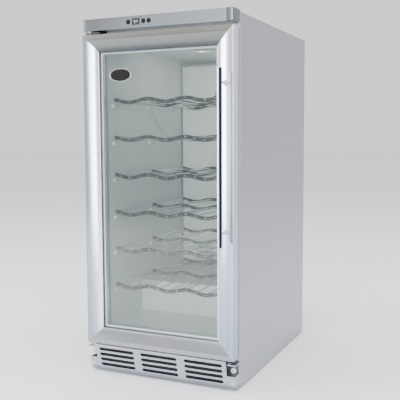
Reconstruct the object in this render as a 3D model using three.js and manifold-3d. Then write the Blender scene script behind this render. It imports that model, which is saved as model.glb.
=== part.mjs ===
// Under-counter wine cooler: steel cabinet, glazed reversible door, wave-wire shelves and a
// forced-air refrigeration set. Millimetres, +Z up, +X to the right seen from the front, +Y to the
// back. Inside the model group Y = 0 is the door's front plane; the group is then moved so that the
// origin is the bottom centre of the whole object.
import * as THREE from "three";
import { mergeVertices } from "three/addons/utils/BufferGeometryUtils.js";
import Module from "manifold-3d";

// ---- Overall sizes ----
const WIDTH = 390;
const HEIGHT = 865;
const DEPTH = 560; // door front to cabinet back

// ---- Common clearances and sheets ----
const GAP = 0.3;
const SHEET = 1.2;
const SIDES = 16; // facets on small rounds

// ---- Door frame ----
const DOOR_T = 32;
const DOOR_BOTTOM = 76.3;
const DOOR_TOP_GAP = 8;
const FRAME_W = 40;
const FRAME_FLAT = 12;
const FRAME_DIP = 8; // how far the sloped face falls back
const FRAME_LIP = 3;
const FRAME_WALL = 4;
const MITRE_GAP = 0.2;

// ---- Glazing and seal ----
const PANE_T = 4;
const PANE_COVER = 13; // glass hidden behind the frame's lip
const SPACER_W = 12;
const SPACER_SET = 6; // spacer hidden behind the frame
const GASKET_INSET = 20;
const GASKET_W = 16;
const GASKET_T = 8.1;

// ---- Cabinet ----
const SIDE_LIFT = 3; // side panels stop above the floor
const TOP_STEP = 4; // fascia stands above the cabinet top
const FRONT_FLANGE = 12;
const REAR_FLANGE = 15;
const FASCIA_H = 28.3;
const FASCIA_SKIN = 2;
const FASCIA_ROUND = 2.5;
const END_CAP_W = 16;

// ---- Handle ----
const HANDLE_INSET = 18;
const HANDLE_D = 11.5;
const HANDLE_AXIS_OUT = 35;
const HANDLE_LENGTH = 391;
const HANDLE_RISE = 85; // bar's middle above the door's middle
const STANDOFF_D = 8;
const STANDOFF_INSET = 30.5;
const STANDOFF_SINK = 10;
const SPIGOT_R = 3; // standoff's end inside the bar

// ---- Hinges ----
const PIVOT_INSET = 15;
const PIVOT_Y = 14;
const PIN_D = 7;
const PIN_REACH = 16; // pin length inside the door
const PIN_CLEAR = 0.15;
const PIN_HEAD_R = 5.5;
const BRACKET_T = 3;
const BRACKET_REACH = 8; // bracket in front of the pivot

// ---- Kick plate ----
const KICK_BOTTOM = 5;
const KICK_DROP = 2.3; // air between door and kick plate
const KICK_RAKE = 0.24;
const KICK_FRONT = 1;
const KICK_T = 1.5;
const SLOT_H = 8.4;
const SLOT_COLUMNS = 3;
const SLOT_ROWS = 4;
const SLOT_WEB = 19; // metal between slot groups
const SLOT_PITCH_Z = 13.6;
const SLOT_DROP = 11.6; // first slot below the top edge
const NOTCH_W = 20;
const NOTCH_H = 36;

// ---- Chamber ----
const LINER_T = 1.5;
const WALL = 43; // chamber wall to cabinet side
const CHAMBER_FLOOR = 118;
const CEILING_DROP = 59;
const REAR_WALL = 44;
const STEP_FRONT = 200;
const STEP_TOP = 200;
const FLANGE_INSET = 12.3;
const DECK_T = 1;
const DECK_LOW = 78.5;
const DECK_FOAM = 36; // foam in front of the deck's riser
const DECK_HIGH = 166;
const COVER_SEAM = 1.2; // service cover laps over the deck's edge

// ---- Shelves ----
const SHELF_COUNT = 6;
const SHELF_TOP_DROP = 132; // top shelf below the ceiling
const SHELF_OVER_STEP = 14;
const SHELF_BACK_GAP = 14; // shelf front to gasket face
const SHELF_SIDE_GAP = 8;
const SHELF_DUCT_GAP = 7;
const BOTTLES_ACROSS = 3;
const WAVE_H = 8;
const BAND_H = 9;
const BAND_T = 2.4;
const WIRE = 3.2;
const WIRE_SINK = 2.5; // wires below the band's top edge

// ---- Air duct and fans ----
const DUCT_DEPTH = 64;
const DUCT_SIDE_GAP = 4;
const DUCT_T = 2;
const DUCT_TOP_DROP = 14;
const CHAMBER_FAN = { size: 92, depth: 25, blade: 41, hub: 15 };
const BASE_FAN = { size: 116, depth: 30, blade: 52, hub: 18 };
const FAN_CLEAR = 2; // blade tip to frame

// ---- Controls ----
const CONTROL_DROP = 14; // button centres below the top edge
const BUTTON_D = 9.6;
const BUTTON_X = [-67.3, -27.4, -13.2];
const BUTTON_PROUD = 1.4;
const WINDOW = { x: -46.8, w: 20.5, h: 14.5 };
const STATUS_X = -33.4;
const STATUS_D = 3;
const STATUS_RISE = 8.6;
const BOARD_Y = 16;

// ---- Chamber lamp, on the ceiling ----
const LAMP = { from: 40, side: 12, front: 90, back: 150, base: 6, lens: 7, rim: 6 };

// ---- Badge on the glass ----
const BADGE = { inset: 98.5, drop: 97, halfW: 29.5, halfH: 15.5 };

// ---- Base ----
const PAN_Z = 12;
const FOOT_D = 30;
const FOOT_H = 9;
const FOOT_INSET = 30; // foot centre from the cabinet side
const FOOT_SET_BACK = 40;
const FOOT_STEM_D = 8;
const FOOT_STEM_L = 28;
const PAN_BOSS_H = 12;
const COMPRESSOR_R = 68;
const INLET = { side: 55, z: 60, w: 27, h: 20, flangeW: 50, flangeH: 30, depth: 24 };

// ---- Values worked out from the sizes above ----
const HALF = WIDTH / 2;
const INNER = HALF - SHEET - GAP; // half width between the side sheets
const CABINET_FRONT = DOOR_T + GASKET_T + 3 * GAP;
const CABINET_TOP = HEIGHT - TOP_STEP;
const FASCIA_BOTTOM = HEIGHT - FASCIA_H;
const DOOR_TOP = FASCIA_BOTTOM - DOOR_TOP_GAP;
const DOOR_MIDDLE = (DOOR_TOP + DOOR_BOTTOM) / 2;
const KICK_TOP = DOOR_BOTTOM - KICK_DROP;
const NOTCH_Z = KICK_TOP - NOTCH_H;
const CONTROL_Z = HEIGHT - CONTROL_DROP;
const HANDLE_X = HALF - HANDLE_INSET;
const HANDLE_Y = -HANDLE_AXIS_OUT;
const HANDLE_BOTTOM = DOOR_MIDDLE + HANDLE_RISE - HANDLE_LENGTH / 2;
const HANDLE_TOP = HANDLE_BOTTOM + HANDLE_LENGTH;
const PIVOT_X = PIVOT_INSET - HALF;
const LOWER_PLATE_TOP = KICK_TOP - 7;
const UPPER_PLATE_Z = DOOR_TOP + 2.5;
const CAP_INNER = HALF - END_CAP_W;
const REAR_COVER_Y = DEPTH - 2 * SHEET - GAP; // front face of the two rear covers
const DECK_RISER = STEP_FRONT + DECK_FOAM;
const DECK_TOP = DECK_HIGH + DECK_T;
const CHAMBER_HALF = HALF - WALL;
const CHAMBER_CEILING = HEIGHT - CEILING_DROP;
const CHAMBER_BACK = DEPTH - REAR_WALL;
const DUCT_FRONT = CHAMBER_BACK - DUCT_DEPTH;
const DUCT_BOTTOM = STEP_TOP + SHELF_OVER_STEP;
const DUCT_TOP = CHAMBER_CEILING - DUCT_TOP_DROP;
const CHAMBER_FAN_Z = DUCT_TOP - CHAMBER_FAN.size;
const SHELF_HALF = CHAMBER_HALF - SHELF_SIDE_GAP;
const SHELF_FRONT = CABINET_FRONT + SHELF_BACK_GAP;
const SHELF_BACK = DUCT_FRONT - SHELF_DUCT_GAP;
const SHELF_TOP_Z = CHAMBER_CEILING - SHELF_TOP_DROP;
const SHELF_PITCH = (SHELF_TOP_Z - STEP_TOP - SHELF_OVER_STEP) / (SHELF_COUNT - 1);
const BOTTLE_PITCH = (2 * CHAMBER_HALF) / BOTTLES_ACROSS;
const GLASS_FRONT = FRAME_DIP + FRAME_LIP + GAP;
const INNER_PANE = DOOR_T - GAP - PANE_T;
const MACHINE_FLOOR = PAN_Z + SHEET + GAP;
const BASE_FAN_Z = MACHINE_FLOOR + BASE_FAN.size / 2 + 8;
const COMPRESSOR_AT = [HALF - 100, DEPTH - 160];

const wasm = await Module();
wasm.setup();

// ---- Solid helpers ----
function solid(geometry) {
  const bare = new THREE.BufferGeometry();
  const flat = geometry.index ? geometry.toNonIndexed() : geometry;
  bare.setAttribute("position", flat.getAttribute("position").clone());
  const merged = mergeVertices(bare, 1e-4);
  return new wasm.Manifold(
    new wasm.Mesh({
      numProp: 3,
      vertProperties: merged.attributes.position.array,
      triVerts: new Uint32Array(merged.index.array),
    }),
  );
}

function geometryOf(body) {
  const mesh = body.getMesh();
  const geometry = new THREE.BufferGeometry();
  geometry.setAttribute("position", new THREE.BufferAttribute(mesh.vertProperties, 3));
  geometry.setIndex(new THREE.BufferAttribute(mesh.triVerts, 1));
  return geometry.toNonIndexed();
}

// A box from its lowest to its highest corner.
function box(low, high) {
  const size = high.map((value, i) => value - low[i]);
  const geometry = new THREE.BoxGeometry(...size);
  return solid(geometry.translate(...low.map((value, i) => value + size[i] / 2)));
}

// A cylinder from a base point along one axis ("x", "y" or "z").
function rod(base, axis, length, radius, sides = SIDES) {
  const geometry = new THREE.CylinderGeometry(radius, radius, length, sides);
  geometry.translate(0, length / 2, 0);
  if (axis === "z") geometry.rotateX(Math.PI / 2);
  if (axis === "x") geometry.rotateZ(-Math.PI / 2);
  return solid(geometry.translate(...base));
}

// A closed outline of [a, b] points, extruded along an axis from one place to another.
// Along "x" the outline lies in Y-Z, along "y" in X-Z and along "z" in X-Y.
function prism(points, axis, from, to, holes = []) {
  const shape = new THREE.Shape(points.map(([a, b]) => new THREE.Vector2(a, b)));
  shape.holes = holes.map((hole) => new THREE.Path(hole.map(([a, b]) => new THREE.Vector2(a, b))));
  const geometry = new THREE.ExtrudeGeometry(shape, { depth: to - from, bevelEnabled: false });
  if (axis === "z") return solid(geometry.translate(0, 0, from));
  if (axis === "x") return solid(geometry.rotateX(Math.PI / 2).rotateZ(Math.PI / 2).translate(from, 0, 0));
  return solid(geometry.rotateX(Math.PI / 2).translate(0, to, 0));
}

// A profile of [radius, height] points turned about the Z axis.
function turned(points, at, sides = SIDES) {
  const profile = points.map(([r, z]) => new THREE.Vector2(r, z));
  return solid(new THREE.LatheGeometry(profile, sides).rotateX(Math.PI / 2).translate(...at));
}

const rectangle = (x0, y0, x1, y1) => [[x0, y0], [x1, y0], [x1, y1], [x0, y1]];

function circle(x, y, radius, sides = SIDES) {
  return Array.from({ length: sides }, (_, i) => {
    const angle = (2 * Math.PI * i) / sides;
    return [x + radius * Math.cos(angle), y + radius * Math.sin(angle)];
  });
}

// A slot with round ends along the first axis.
function slot(x, y, length, height, steps = 5) {
  const radius = height / 2;
  const reach = length / 2 - radius;
  const end = (side) =>
    Array.from({ length: steps + 1 }, (_, i) => {
      const angle = (side > 0 ? -Math.PI / 2 : Math.PI / 2) + (Math.PI * i) / steps;
      return [x + side * reach + radius * Math.cos(angle), y + radius * Math.sin(angle)];
    });
  return [...end(1), ...end(-1)];
}

const union = (bodies) => bodies.reduce((whole, body) => whole.add(body));
const cut = (body, tools) => tools.reduce((left, tool) => left.subtract(tool), body);

// ---- Finishes ----
const finish = (color, roughness, metalness) =>
  new THREE.MeshStandardMaterial({ color, roughness, metalness });
const steel = () => finish(0xb9bec7, 0.35, 0.9);
const aluminium = () => finish(0xc4cad6, 0.3, 0.9);
const chrome = () => finish(0xd8dde6, 0.12, 1);
const zinc = () => finish(0xa9adb2, 0.45, 0.8);
const linerWhite = () => finish(0xd6dad8, 0.5, 0);
const black = () => finish(0x17181a, 0.4, 0);
const rubber = () => finish(0x2b2c2f, 0.8, 0);
const cream = () => finish(0xe6e2d4, 0.5, 0);

const cooler = new THREE.Group();
const model = new THREE.Group();
cooler.add(model);
const frontOfHandle = HANDLE_Y - HANDLE_D / 2;
model.position.y = -(DEPTH + frontOfHandle) / 2;

function place(name, body, material) {
  const mesh = new THREE.Mesh(geometryOf(body), material);
  mesh.name = name;
  model.add(mesh);
}

// ---- Cabinet shell ----
function sidePanel(side) {
  const out = side * HALF;
  const skin = side * (HALF - SHEET);
  const front = side * (HALF - FRONT_FLANGE);
  const rear = side * (HALF - REAR_FLANGE);
  const outline = [
    [out, CABINET_FRONT], [front, CABINET_FRONT], [front, CABINET_FRONT + SHEET],
    [skin, CABINET_FRONT + SHEET], [skin, DEPTH - SHEET], [rear, DEPTH - SHEET],
    [rear, DEPTH], [out, DEPTH],
  ];
  if (side > 0) outline.reverse();
  return prism(outline, "z", SIDE_LIFT, CABINET_TOP - SHEET - GAP);
}

function topPanel() {
  const under = CABINET_TOP - SHEET;
  const lid = box([-HALF, CABINET_FRONT, under], [HALF, DEPTH, CABINET_TOP]);
  const reach = HALF - FRONT_FLANGE - GAP;
  const flangeBottom = FASCIA_BOTTOM + 1;
  return lid.add(box([-reach, CABINET_FRONT, flangeBottom], [reach, CABINET_FRONT + SHEET, CABINET_TOP]));
}

function backPanel() {
  const bottom = DECK_TOP + COVER_SEAM + GAP;
  return box([-INNER, REAR_COVER_Y, bottom], [INNER, REAR_COVER_Y + SHEET, CABINET_TOP - SHEET - GAP]);
}

function serviceCover() {
  const back = REAR_COVER_Y + SHEET;
  const plate = box([-INNER, REAR_COVER_Y, MACHINE_FLOOR], [INNER, back, DECK_TOP + COVER_SEAM]);
  const louvres = [];
  for (let column = 0; column < 3; column++)
    for (let row = 0; row < 4; row++)
      louvres.push(prism(slot(-40 + column * 80, 50 + row * 26, 60, 8, 3), "y", REAR_COVER_Y - 1, DEPTH));
  const { z, w, h } = INLET;
  const x = INLET.side - HALF;
  const window = box(
    [x - w / 2 - GAP, REAR_COVER_Y - 1, z - h / 2 - GAP],
    [x + w / 2 + GAP, DEPTH, z + h / 2 + GAP],
  );
  return cut(plate, [...louvres, window]);
}

function basePan() {
  const back = REAR_COVER_Y - GAP;
  const plate = box([-INNER, CABINET_FRONT, PAN_Z], [INNER, back, PAN_Z + SHEET]);
  const reach = HALF - FRONT_FLANGE - GAP;
  const front = box([-reach, CABINET_FRONT, PAN_Z], [reach, CABINET_FRONT + SHEET, DECK_LOW - GAP]);
  const open = reach - 30;
  const air = box([-open, CABINET_FRONT - 1, 22], [open, CABINET_FRONT + SHEET + 1, DECK_LOW - 10]);
  const notch = FRONT_FLANGE + GAP;
  const clearCorners = [-HALF, HALF].map((x) =>
    box([x - notch, 0, 0], [x + notch, CABINET_FRONT + SHEET + GAP, DECK_LOW]),
  );
  const bosses = footPlaces().map(([x, y]) => rod([x, y, PAN_Z], "z", PAN_BOSS_H, FOOT_STEM_D, 12));
  const bores = footPlaces().map(([x, y]) => rod([x, y, 0], "z", 60, FOOT_STEM_D / 2 + 0.3, 12));
  return cut(union([plate, front, ...bosses]), [air, ...clearCorners, ...bores]);
}

function footPlaces() {
  const x = HALF - FOOT_INSET;
  const ys = [CABINET_FRONT + FOOT_SET_BACK, DEPTH - FOOT_SET_BACK];
  return ys.flatMap((y) => [[-x, y], [x, y]]);
}

function foot([x, y]) {
  const profile = [
    [0, 0], [FOOT_D / 2, 0], [FOOT_D / 2, FOOT_H - 3], [FOOT_D / 2 - 4, FOOT_H],
    [FOOT_STEM_D / 2, FOOT_H], [FOOT_STEM_D / 2, FOOT_H + FOOT_STEM_L], [0, FOOT_H + FOOT_STEM_L],
  ];
  return turned(profile, [x, y, 0], 12);
}

// The stepped steel deck between the foam and the machine space.
function machineDeck() {
  const front = CABINET_FRONT + SHEET + GAP;
  const back = REAR_COVER_Y - GAP;
  const outline = [
    [front, DECK_LOW], [DECK_RISER + DECK_T, DECK_LOW], [DECK_RISER + DECK_T, DECK_HIGH],
    [back, DECK_HIGH], [back, DECK_TOP], [DECK_RISER, DECK_TOP],
    [DECK_RISER, DECK_LOW + DECK_T], [front, DECK_LOW + DECK_T],
  ];
  return prism(outline, "x", -INNER, INNER);
}

// ---- Insulation and liner ----
// Side view of the chamber, grown outwards by a margin.
function chamberOutline(margin, front) {
  return [
    [front, CHAMBER_FLOOR - margin], [STEP_FRONT + margin, CHAMBER_FLOOR - margin],
    [STEP_FRONT + margin, STEP_TOP - margin], [CHAMBER_BACK + margin, STEP_TOP - margin],
    [CHAMBER_BACK + margin, CHAMBER_CEILING + margin], [front, CHAMBER_CEILING + margin],
  ];
}

function chamber(margin, front) {
  return prism(chamberOutline(margin, front), "x", -CHAMBER_HALF - margin, CHAMBER_HALF + margin);
}

function linerFlange(front, back) {
  const half = HALF - FLANGE_INSET;
  const outer = rectangle(-half, DECK_LOW + GAP, half, FASCIA_BOTTOM + 1 - GAP);
  return prism(outer, "y", front, back);
}

function innerLiner() {
  const shell = chamber(LINER_T, CABINET_FRONT + 0.5);
  const flange = linerFlange(CABINET_FRONT, CABINET_FRONT + LINER_T);
  const deckClear = box([-HALF, 0, 0], [HALF, CABINET_FRONT + 10, DECK_LOW + DECK_T + GAP]);
  return cut(shell.add(flange), [chamber(0, CABINET_FRONT - 5), deckClear]);
}

function insulationFoam() {
  const front = CABINET_FRONT + LINER_T + GAP;
  const back = REAR_COVER_Y - GAP;
  const low = DECK_LOW + DECK_T + GAP;
  const high = DECK_TOP + GAP;
  const riser = DECK_RISER - GAP;
  const top = CABINET_TOP - SHEET - GAP;
  const outline = [[front, low], [riser, low], [riser, high], [back, high], [back, top], [front, top]];
  const block = prism(outline, "x", -INNER, INNER);
  return block.subtract(chamber(LINER_T + GAP, 0));
}

// ---- Fascia and controls ----
function controlFascia() {
  const depth = CABINET_FRONT - BRACKET_T - 3 * GAP;
  const round = FASCIA_ROUND;
  const low = FASCIA_BOTTOM;
  const skin = FASCIA_SKIN;
  const outline = [
    [depth, low], [0, low], [0, HEIGHT - round], [round * 0.3, HEIGHT - round * 0.3], [round, HEIGHT],
    [depth, HEIGHT], [depth, HEIGHT - skin], [round, HEIGHT - skin], [skin, HEIGHT - round],
    [skin, low + skin], [depth, low + skin],
  ];
  const body = prism(outline.reverse(), "x", -CAP_INNER + GAP, CAP_INNER - GAP);
  const bosses = [-1, 1].map((side) =>
    rod([WINDOW.x + side * 45, skin - 0.5, CONTROL_Z], "y", BOARD_Y - skin - GAP + 0.5, 3, 8),
  );
  const buttonHoles = BUTTON_X.map((x) => rod([x, -1, CONTROL_Z], "y", skin + 2, BUTTON_D / 2 + GAP));
  const window = box(
    [WINDOW.x - WINDOW.w / 2 - GAP, -1, CONTROL_Z - WINDOW.h / 2 - GAP],
    [WINDOW.x + WINDOW.w / 2 + GAP, skin + 1, CONTROL_Z + WINDOW.h / 2 + GAP],
  );
  const lamp = rod([STATUS_X, -1, CONTROL_Z + STATUS_RISE], "y", skin + 2, STATUS_D / 2 + GAP, 10);
  return cut(union([body, ...bosses]), [...buttonHoles, window, lamp]);
}

function endCap(side) {
  const inside = side * CAP_INNER;
  const outside = side * HALF;
  const back = CABINET_FRONT - GAP;
  const round = 4;
  const outline = [
    [inside, 0], [outside - side * round, 0], [outside - side * round * 0.3, round * 0.3],
    [outside, round], [outside, back], [inside, back],
  ];
  if (side < 0) outline.reverse();
  const body = prism(outline, "z", FASCIA_BOTTOM, HEIGHT);
  const hollowX = [CAP_INNER + 2, HALF - 2].map((x) => side * x).sort((a, b) => a - b);
  return body.subtract(box([hollowX[0], 4, FASCIA_BOTTOM + 2], [hollowX[1], back + 1, HEIGHT - 2]));
}

function pushButton(x) {
  const radius = BUTTON_D / 2;
  const cap = rod([x, -BUTTON_PROUD, CONTROL_Z], "y", 9, radius);
  return cap.add(rod([x, 7, CONTROL_Z], "y", 5, radius / 2, 8));
}

function displayWindow() {
  const { x, w, h } = WINDOW;
  return box([x - w / 2, 0.3, CONTROL_Z - h / 2], [x + w / 2, BOARD_Y - GAP, CONTROL_Z + h / 2]);
}

function statusLamp() {
  return rod([STATUS_X, -0.4, CONTROL_Z + STATUS_RISE], "y", 8, STATUS_D / 2, 10);
}

function controlBoard() {
  return box([WINDOW.x - 52, BOARD_Y, CONTROL_Z - 10], [WINDOW.x + 52, BOARD_Y + 1.6, CONTROL_Z + 9]);
}

// ---- Kick plate ----
function kickPlate() {
  const lean = Math.atan(KICK_RAKE);
  const stretch = 1 / Math.cos(lean);
  const height = (KICK_TOP - KICK_BOTTOM) * stretch;
  const half = HALF - GAP;
  const notch = (KICK_TOP - NOTCH_Z) * stretch;
  const outline = [
    [-half, -height], [half, -height], [half, -notch], [half - NOTCH_W, -notch], [half - NOTCH_W, 0],
    [-half + NOTCH_W, 0], [-half + NOTCH_W, -notch], [-half, -notch],
  ];
  const pitch = (2 * (half - NOTCH_W)) / SLOT_COLUMNS;
  const slots = [];
  for (let column = 0; column < SLOT_COLUMNS; column++)
    for (let row = 0; row < SLOT_ROWS; row++) {
      const x = (column - (SLOT_COLUMNS - 1) / 2) * pitch;
      slots.push(slot(x, -(SLOT_DROP + row * SLOT_PITCH_Z) * stretch, pitch - SLOT_WEB, SLOT_H));
    }
  const shape = new THREE.Shape(outline.map(([a, b]) => new THREE.Vector2(a, b)));
  shape.holes = slots.map((hole) => new THREE.Path(hole.map(([a, b]) => new THREE.Vector2(a, b))));
  const sheet = new THREE.ExtrudeGeometry(shape, { depth: KICK_T, bevelEnabled: false });
  sheet.rotateX(Math.PI / 2 + lean).translate(0, KICK_FRONT + KICK_T, KICK_TOP);
  const top = box(
    [-half + NOTCH_W, KICK_FRONT + 0.2, KICK_TOP - KICK_T],
    [half - NOTCH_W, CABINET_FRONT - GAP, KICK_TOP],
  );
  const back = CABINET_FRONT - GAP;
  const frontAt = (z) => KICK_FRONT + (KICK_TOP - z) * KICK_RAKE;
  const cheek = [
    [frontAt(KICK_BOTTOM) + 0.4, KICK_BOTTOM + 0.4], [back, KICK_BOTTOM + 0.4], [back, NOTCH_Z - 0.3],
    [frontAt(NOTCH_Z) + 0.4, NOTCH_Z - 0.3],
  ];
  const cheeks = [-1, 1].map((side) => {
    const xs = [side * half, side * (half - KICK_T)].sort((a, b) => a - b);
    return prism(cheek, "x", xs[0], xs[1]);
  });
  return union([solid(sheet), top, ...cheeks]);
}

// ---- Hinges ----
// Corner bracket under the door; the right one is the spare for a door hung the other way.
function lowerBracket(side) {
  const back = CABINET_FRONT - GAP;
  const plateTop = LOWER_PLATE_TOP;
  const spans = [HALF + 3, HALF - NOTCH_W + 1.5].map((x) => side * x).sort((a, b) => a - b);
  const plate = box([spans[0], PIVOT_Y - BRACKET_REACH, plateTop - BRACKET_T], [spans[1], back, plateTop]);
  const legs = [HALF - 1, HALF - NOTCH_W + 1.5].map((x) => side * x).sort((a, b) => a - b);
  const leg = box([legs[0], back - BRACKET_T, NOTCH_Z + 2], [legs[1], back, plateTop]);
  const bore = rod([side * (HALF - PIVOT_INSET), PIVOT_Y, plateTop - 10], "z", 20, PIN_D / 2 + GAP);
  return plate.add(leg).subtract(bore);
}

function upperBracket() {
  const back = CABINET_FRONT - GAP;
  const z = UPPER_PLATE_Z;
  const plate = box([PIVOT_X - 10, PIVOT_Y - BRACKET_REACH, z], [PIVOT_X + 30, back, z + BRACKET_T]);
  const tab = box(
    [-CAP_INNER + 1, back - BRACKET_T, z],
    [PIVOT_X + 30, back, HEIGHT - FASCIA_SKIN - 3],
  );
  const bore = rod([PIVOT_X, PIVOT_Y, z - 5], "z", 20, PIN_D / 2 + GAP);
  return plate.add(tab).subtract(bore);
}

// A hinge pin with a head on the bracket's far side; the shank runs in the door's bore.
function lowerPin() {
  const under = LOWER_PLATE_TOP - BRACKET_T - GAP;
  const profile = [
    [0, under - 5], [PIN_HEAD_R, under - 5], [PIN_HEAD_R, under], [PIN_D / 2, under],
    [PIN_D / 2, DOOR_BOTTOM + PIN_REACH], [0, DOOR_BOTTOM + PIN_REACH],
  ];
  return turned(profile, [PIVOT_X, PIVOT_Y, 0]);
}

function upperPin() {
  const over = UPPER_PLATE_Z + BRACKET_T + GAP;
  const profile = [
    [0, DOOR_TOP - PIN_REACH], [PIN_D / 2, DOOR_TOP - PIN_REACH], [PIN_D / 2, over],
    [PIN_HEAD_R, over], [PIN_HEAD_R, over + 2], [0, over + 2],
  ];
  return turned(profile, [PIVOT_X, PIVOT_Y, 0]);
}

// ---- Door ----
// Section of the frame: w runs inwards from the outer edge, y from the front to the back.
function frameSection() {
  const slope = [];
  for (let i = 0; i <= 4; i++) {
    const t = i / 4;
    slope.push([FRAME_FLAT + 1.6 + t * (FRAME_W - FRAME_FLAT - 1.6), FRAME_DIP * (1 - (1 - t) ** 1.7)]);
  }
  const rebate = FRAME_W - PANE_COVER - 2;
  return [
    [0, 0], [FRAME_FLAT, 0], [FRAME_FLAT + 0.3, 1], [FRAME_FLAT + 1.3, 1], ...slope,
    [FRAME_W, GLASS_FRONT - GAP], [rebate, GLASS_FRONT - GAP], [rebate, DOOR_T], [0, DOOR_T],
  ];
}

const frameChamber = () => rectangle(
  FRAME_WALL, FRAME_WALL + 2, FRAME_W - PANE_COVER - 2 - FRAME_WALL, DOOR_T - FRAME_WALL,
);

// One mitred length of frame, laid along X with its outer edge down, its middle at zero.
function frameLength(length) {
  const shape = new THREE.Shape(frameSection().map(([w, y]) => new THREE.Vector2(w, y)));
  shape.holes = [new THREE.Path(frameChamber().map(([w, y]) => new THREE.Vector2(w, y)))];
  const geometry = new THREE.ExtrudeGeometry(shape, { depth: length, bevelEnabled: false });
  const position = geometry.getAttribute("position");
  for (let i = 0; i < position.count; i++) {
    const [w, y, along] = [position.getX(i), position.getY(i), position.getZ(i)];
    const end = along > length / 2 ? 1 : -1;
    position.setXYZ(i, -end * (length / 2 - w - MITRE_GAP), y, w);
  }
  return solid(geometry);
}

function frameStile(side) {
  const body = frameLength(DOOR_TOP - DOOR_BOTTOM);
  return body.rotate([0, side > 0 ? -90 : 90, 0]).translate([side * HALF, 0, DOOR_MIDDLE]);
}

// The two bores that run on the hinge pins, at the door's bottom and top.
function pinBores() {
  const deep = PIN_REACH + 4;
  return [DOOR_BOTTOM - 1, DOOR_TOP + 1 - deep].map((z) =>
    rod([PIVOT_X, PIVOT_Y, z], "z", deep, PIN_D / 2 + PIN_CLEAR),
  );
}

function doorRail(top) {
  const body = frameLength(WIDTH);
  const laid = top ? body.rotate([0, 180, 0]) : body;
  return cut(laid.translate([0, 0, top ? DOOR_TOP : DOOR_BOTTOM]), pinBores());
}

// The handle side is drilled for the two standoffs, the other side for the hinge pins.
function doorStile(side) {
  if (side < 0) return cut(frameStile(side), pinBores());
  const sockets = standoffHeights().map((z) =>
    rod([HANDLE_X, -1, z], "y", STANDOFF_SINK + 1 + GAP, STANDOFF_D / 2 + GAP),
  );
  return cut(frameStile(side), sockets);
}

function pane(front) {
  const half = HALF - FRAME_W + PANE_COVER;
  const inset = FRAME_W - PANE_COVER;
  return box([-half, front, DOOR_BOTTOM + inset], [half, front + PANE_T, DOOR_TOP - inset]);
}

function ring(inset, width, front, back) {
  const at = (d) => rectangle(-HALF + d, DOOR_BOTTOM + d, HALF - d, DOOR_TOP - d);
  return prism(at(inset), "y", front, back, [at(inset + width)]);
}

function glassSpacer() {
  return ring(FRAME_W - SPACER_SET, SPACER_W, GLASS_FRONT + PANE_T + GAP, INNER_PANE - GAP);
}

function doorGasket() {
  return ring(GASKET_INSET, GASKET_W, DOOR_T + GAP, DOOR_T + GAP + GASKET_T);
}

function standoffHeights() {
  return [HANDLE_BOTTOM + STANDOFF_INSET, HANDLE_TOP - STANDOFF_INSET];
}

function handleBar() {
  const bar = rod([HANDLE_X, HANDLE_Y, HANDLE_BOTTOM], "z", HANDLE_TOP - HANDLE_BOTTOM, HANDLE_D / 2);
  const sockets = standoffHeights().map((z) =>
    rod([HANDLE_X, HANDLE_Y, z], "y", HANDLE_D, SPIGOT_R + GAP, 10),
  );
  return cut(bar, sockets);
}

function handleStandoff(z) {
  const meet = HANDLE_Y + HANDLE_D / 2 + 1.2;
  const post = rod([HANDLE_X, meet, z], "y", STANDOFF_SINK - meet, STANDOFF_D / 2);
  const spigot = rod([HANDLE_X, HANDLE_Y + GAP, z], "y", meet - HANDLE_Y, SPIGOT_R, 10);
  return post.add(spigot);
}

function badgePlate() {
  const { inset, drop, halfW, halfH } = BADGE;
  const [x, z] = [inset - HALF, DOOR_TOP - drop];
  const points = circle(0, 0, 1, 24).map(([a, b]) => [x + a * halfW, z + b * halfH]);
  return prism(points, "y", GLASS_FRONT - 1.6, GLASS_FRONT - GAP);
}

// ---- Shelves ----
// Height of the wave across the shelf: low under each bottle, high between bottles.
const wave = (x) => (WAVE_H / 2) * (1 - Math.cos((2 * Math.PI * x) / BOTTLE_PITCH));

function waveBand(z, y) {
  const steps = 18;
  const xs = Array.from({ length: steps + 1 }, (_, i) => SHELF_HALF * ((2 * i) / steps - 1));
  const bottom = xs.map((x) => [x, z + wave(x) - BAND_H]);
  const top = xs.map((x) => [x, z + wave(x)]).reverse();
  return prism([...bottom, ...top], "y", y, y + BAND_T);
}

function shelf(index) {
  const z = SHELF_TOP_Z - index * SHELF_PITCH;
  const middle = (SHELF_FRONT + SHELF_BACK) / 2;
  const bands = [SHELF_FRONT, middle, SHELF_BACK - BAND_T].map((y) => waveBand(z, y));
  const edge = SHELF_HALF - WIRE / 2 - 0.4;
  const runs = [-edge, ...[-2, -1, 0, 1, 2].map((i) => (i * BOTTLE_PITCH) / 2), edge];
  const wires = runs.map((x) => {
    const top = z + wave(x) - WIRE_SINK;
    return box([x - WIRE / 2, SHELF_FRONT + 0.5, top - WIRE], [x + WIRE / 2, SHELF_BACK - 0.5, top]);
  });
  return union([...bands, ...wires]);
}

// ---- Chamber lamp, duct and fans ----
function lampHousing() {
  const top = CHAMBER_CEILING - GAP;
  return box([LAMP.from, LAMP.front, top - LAMP.base], [CHAMBER_HALF - LAMP.side, LAMP.back, top]);
}

function lampLens() {
  const top = CHAMBER_CEILING - 2 * GAP - LAMP.base;
  return box(
    [LAMP.from + LAMP.rim, LAMP.front + LAMP.rim, top - LAMP.lens],
    [CHAMBER_HALF - LAMP.side - LAMP.rim, LAMP.back - LAMP.rim, top],
  );
}

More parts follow.
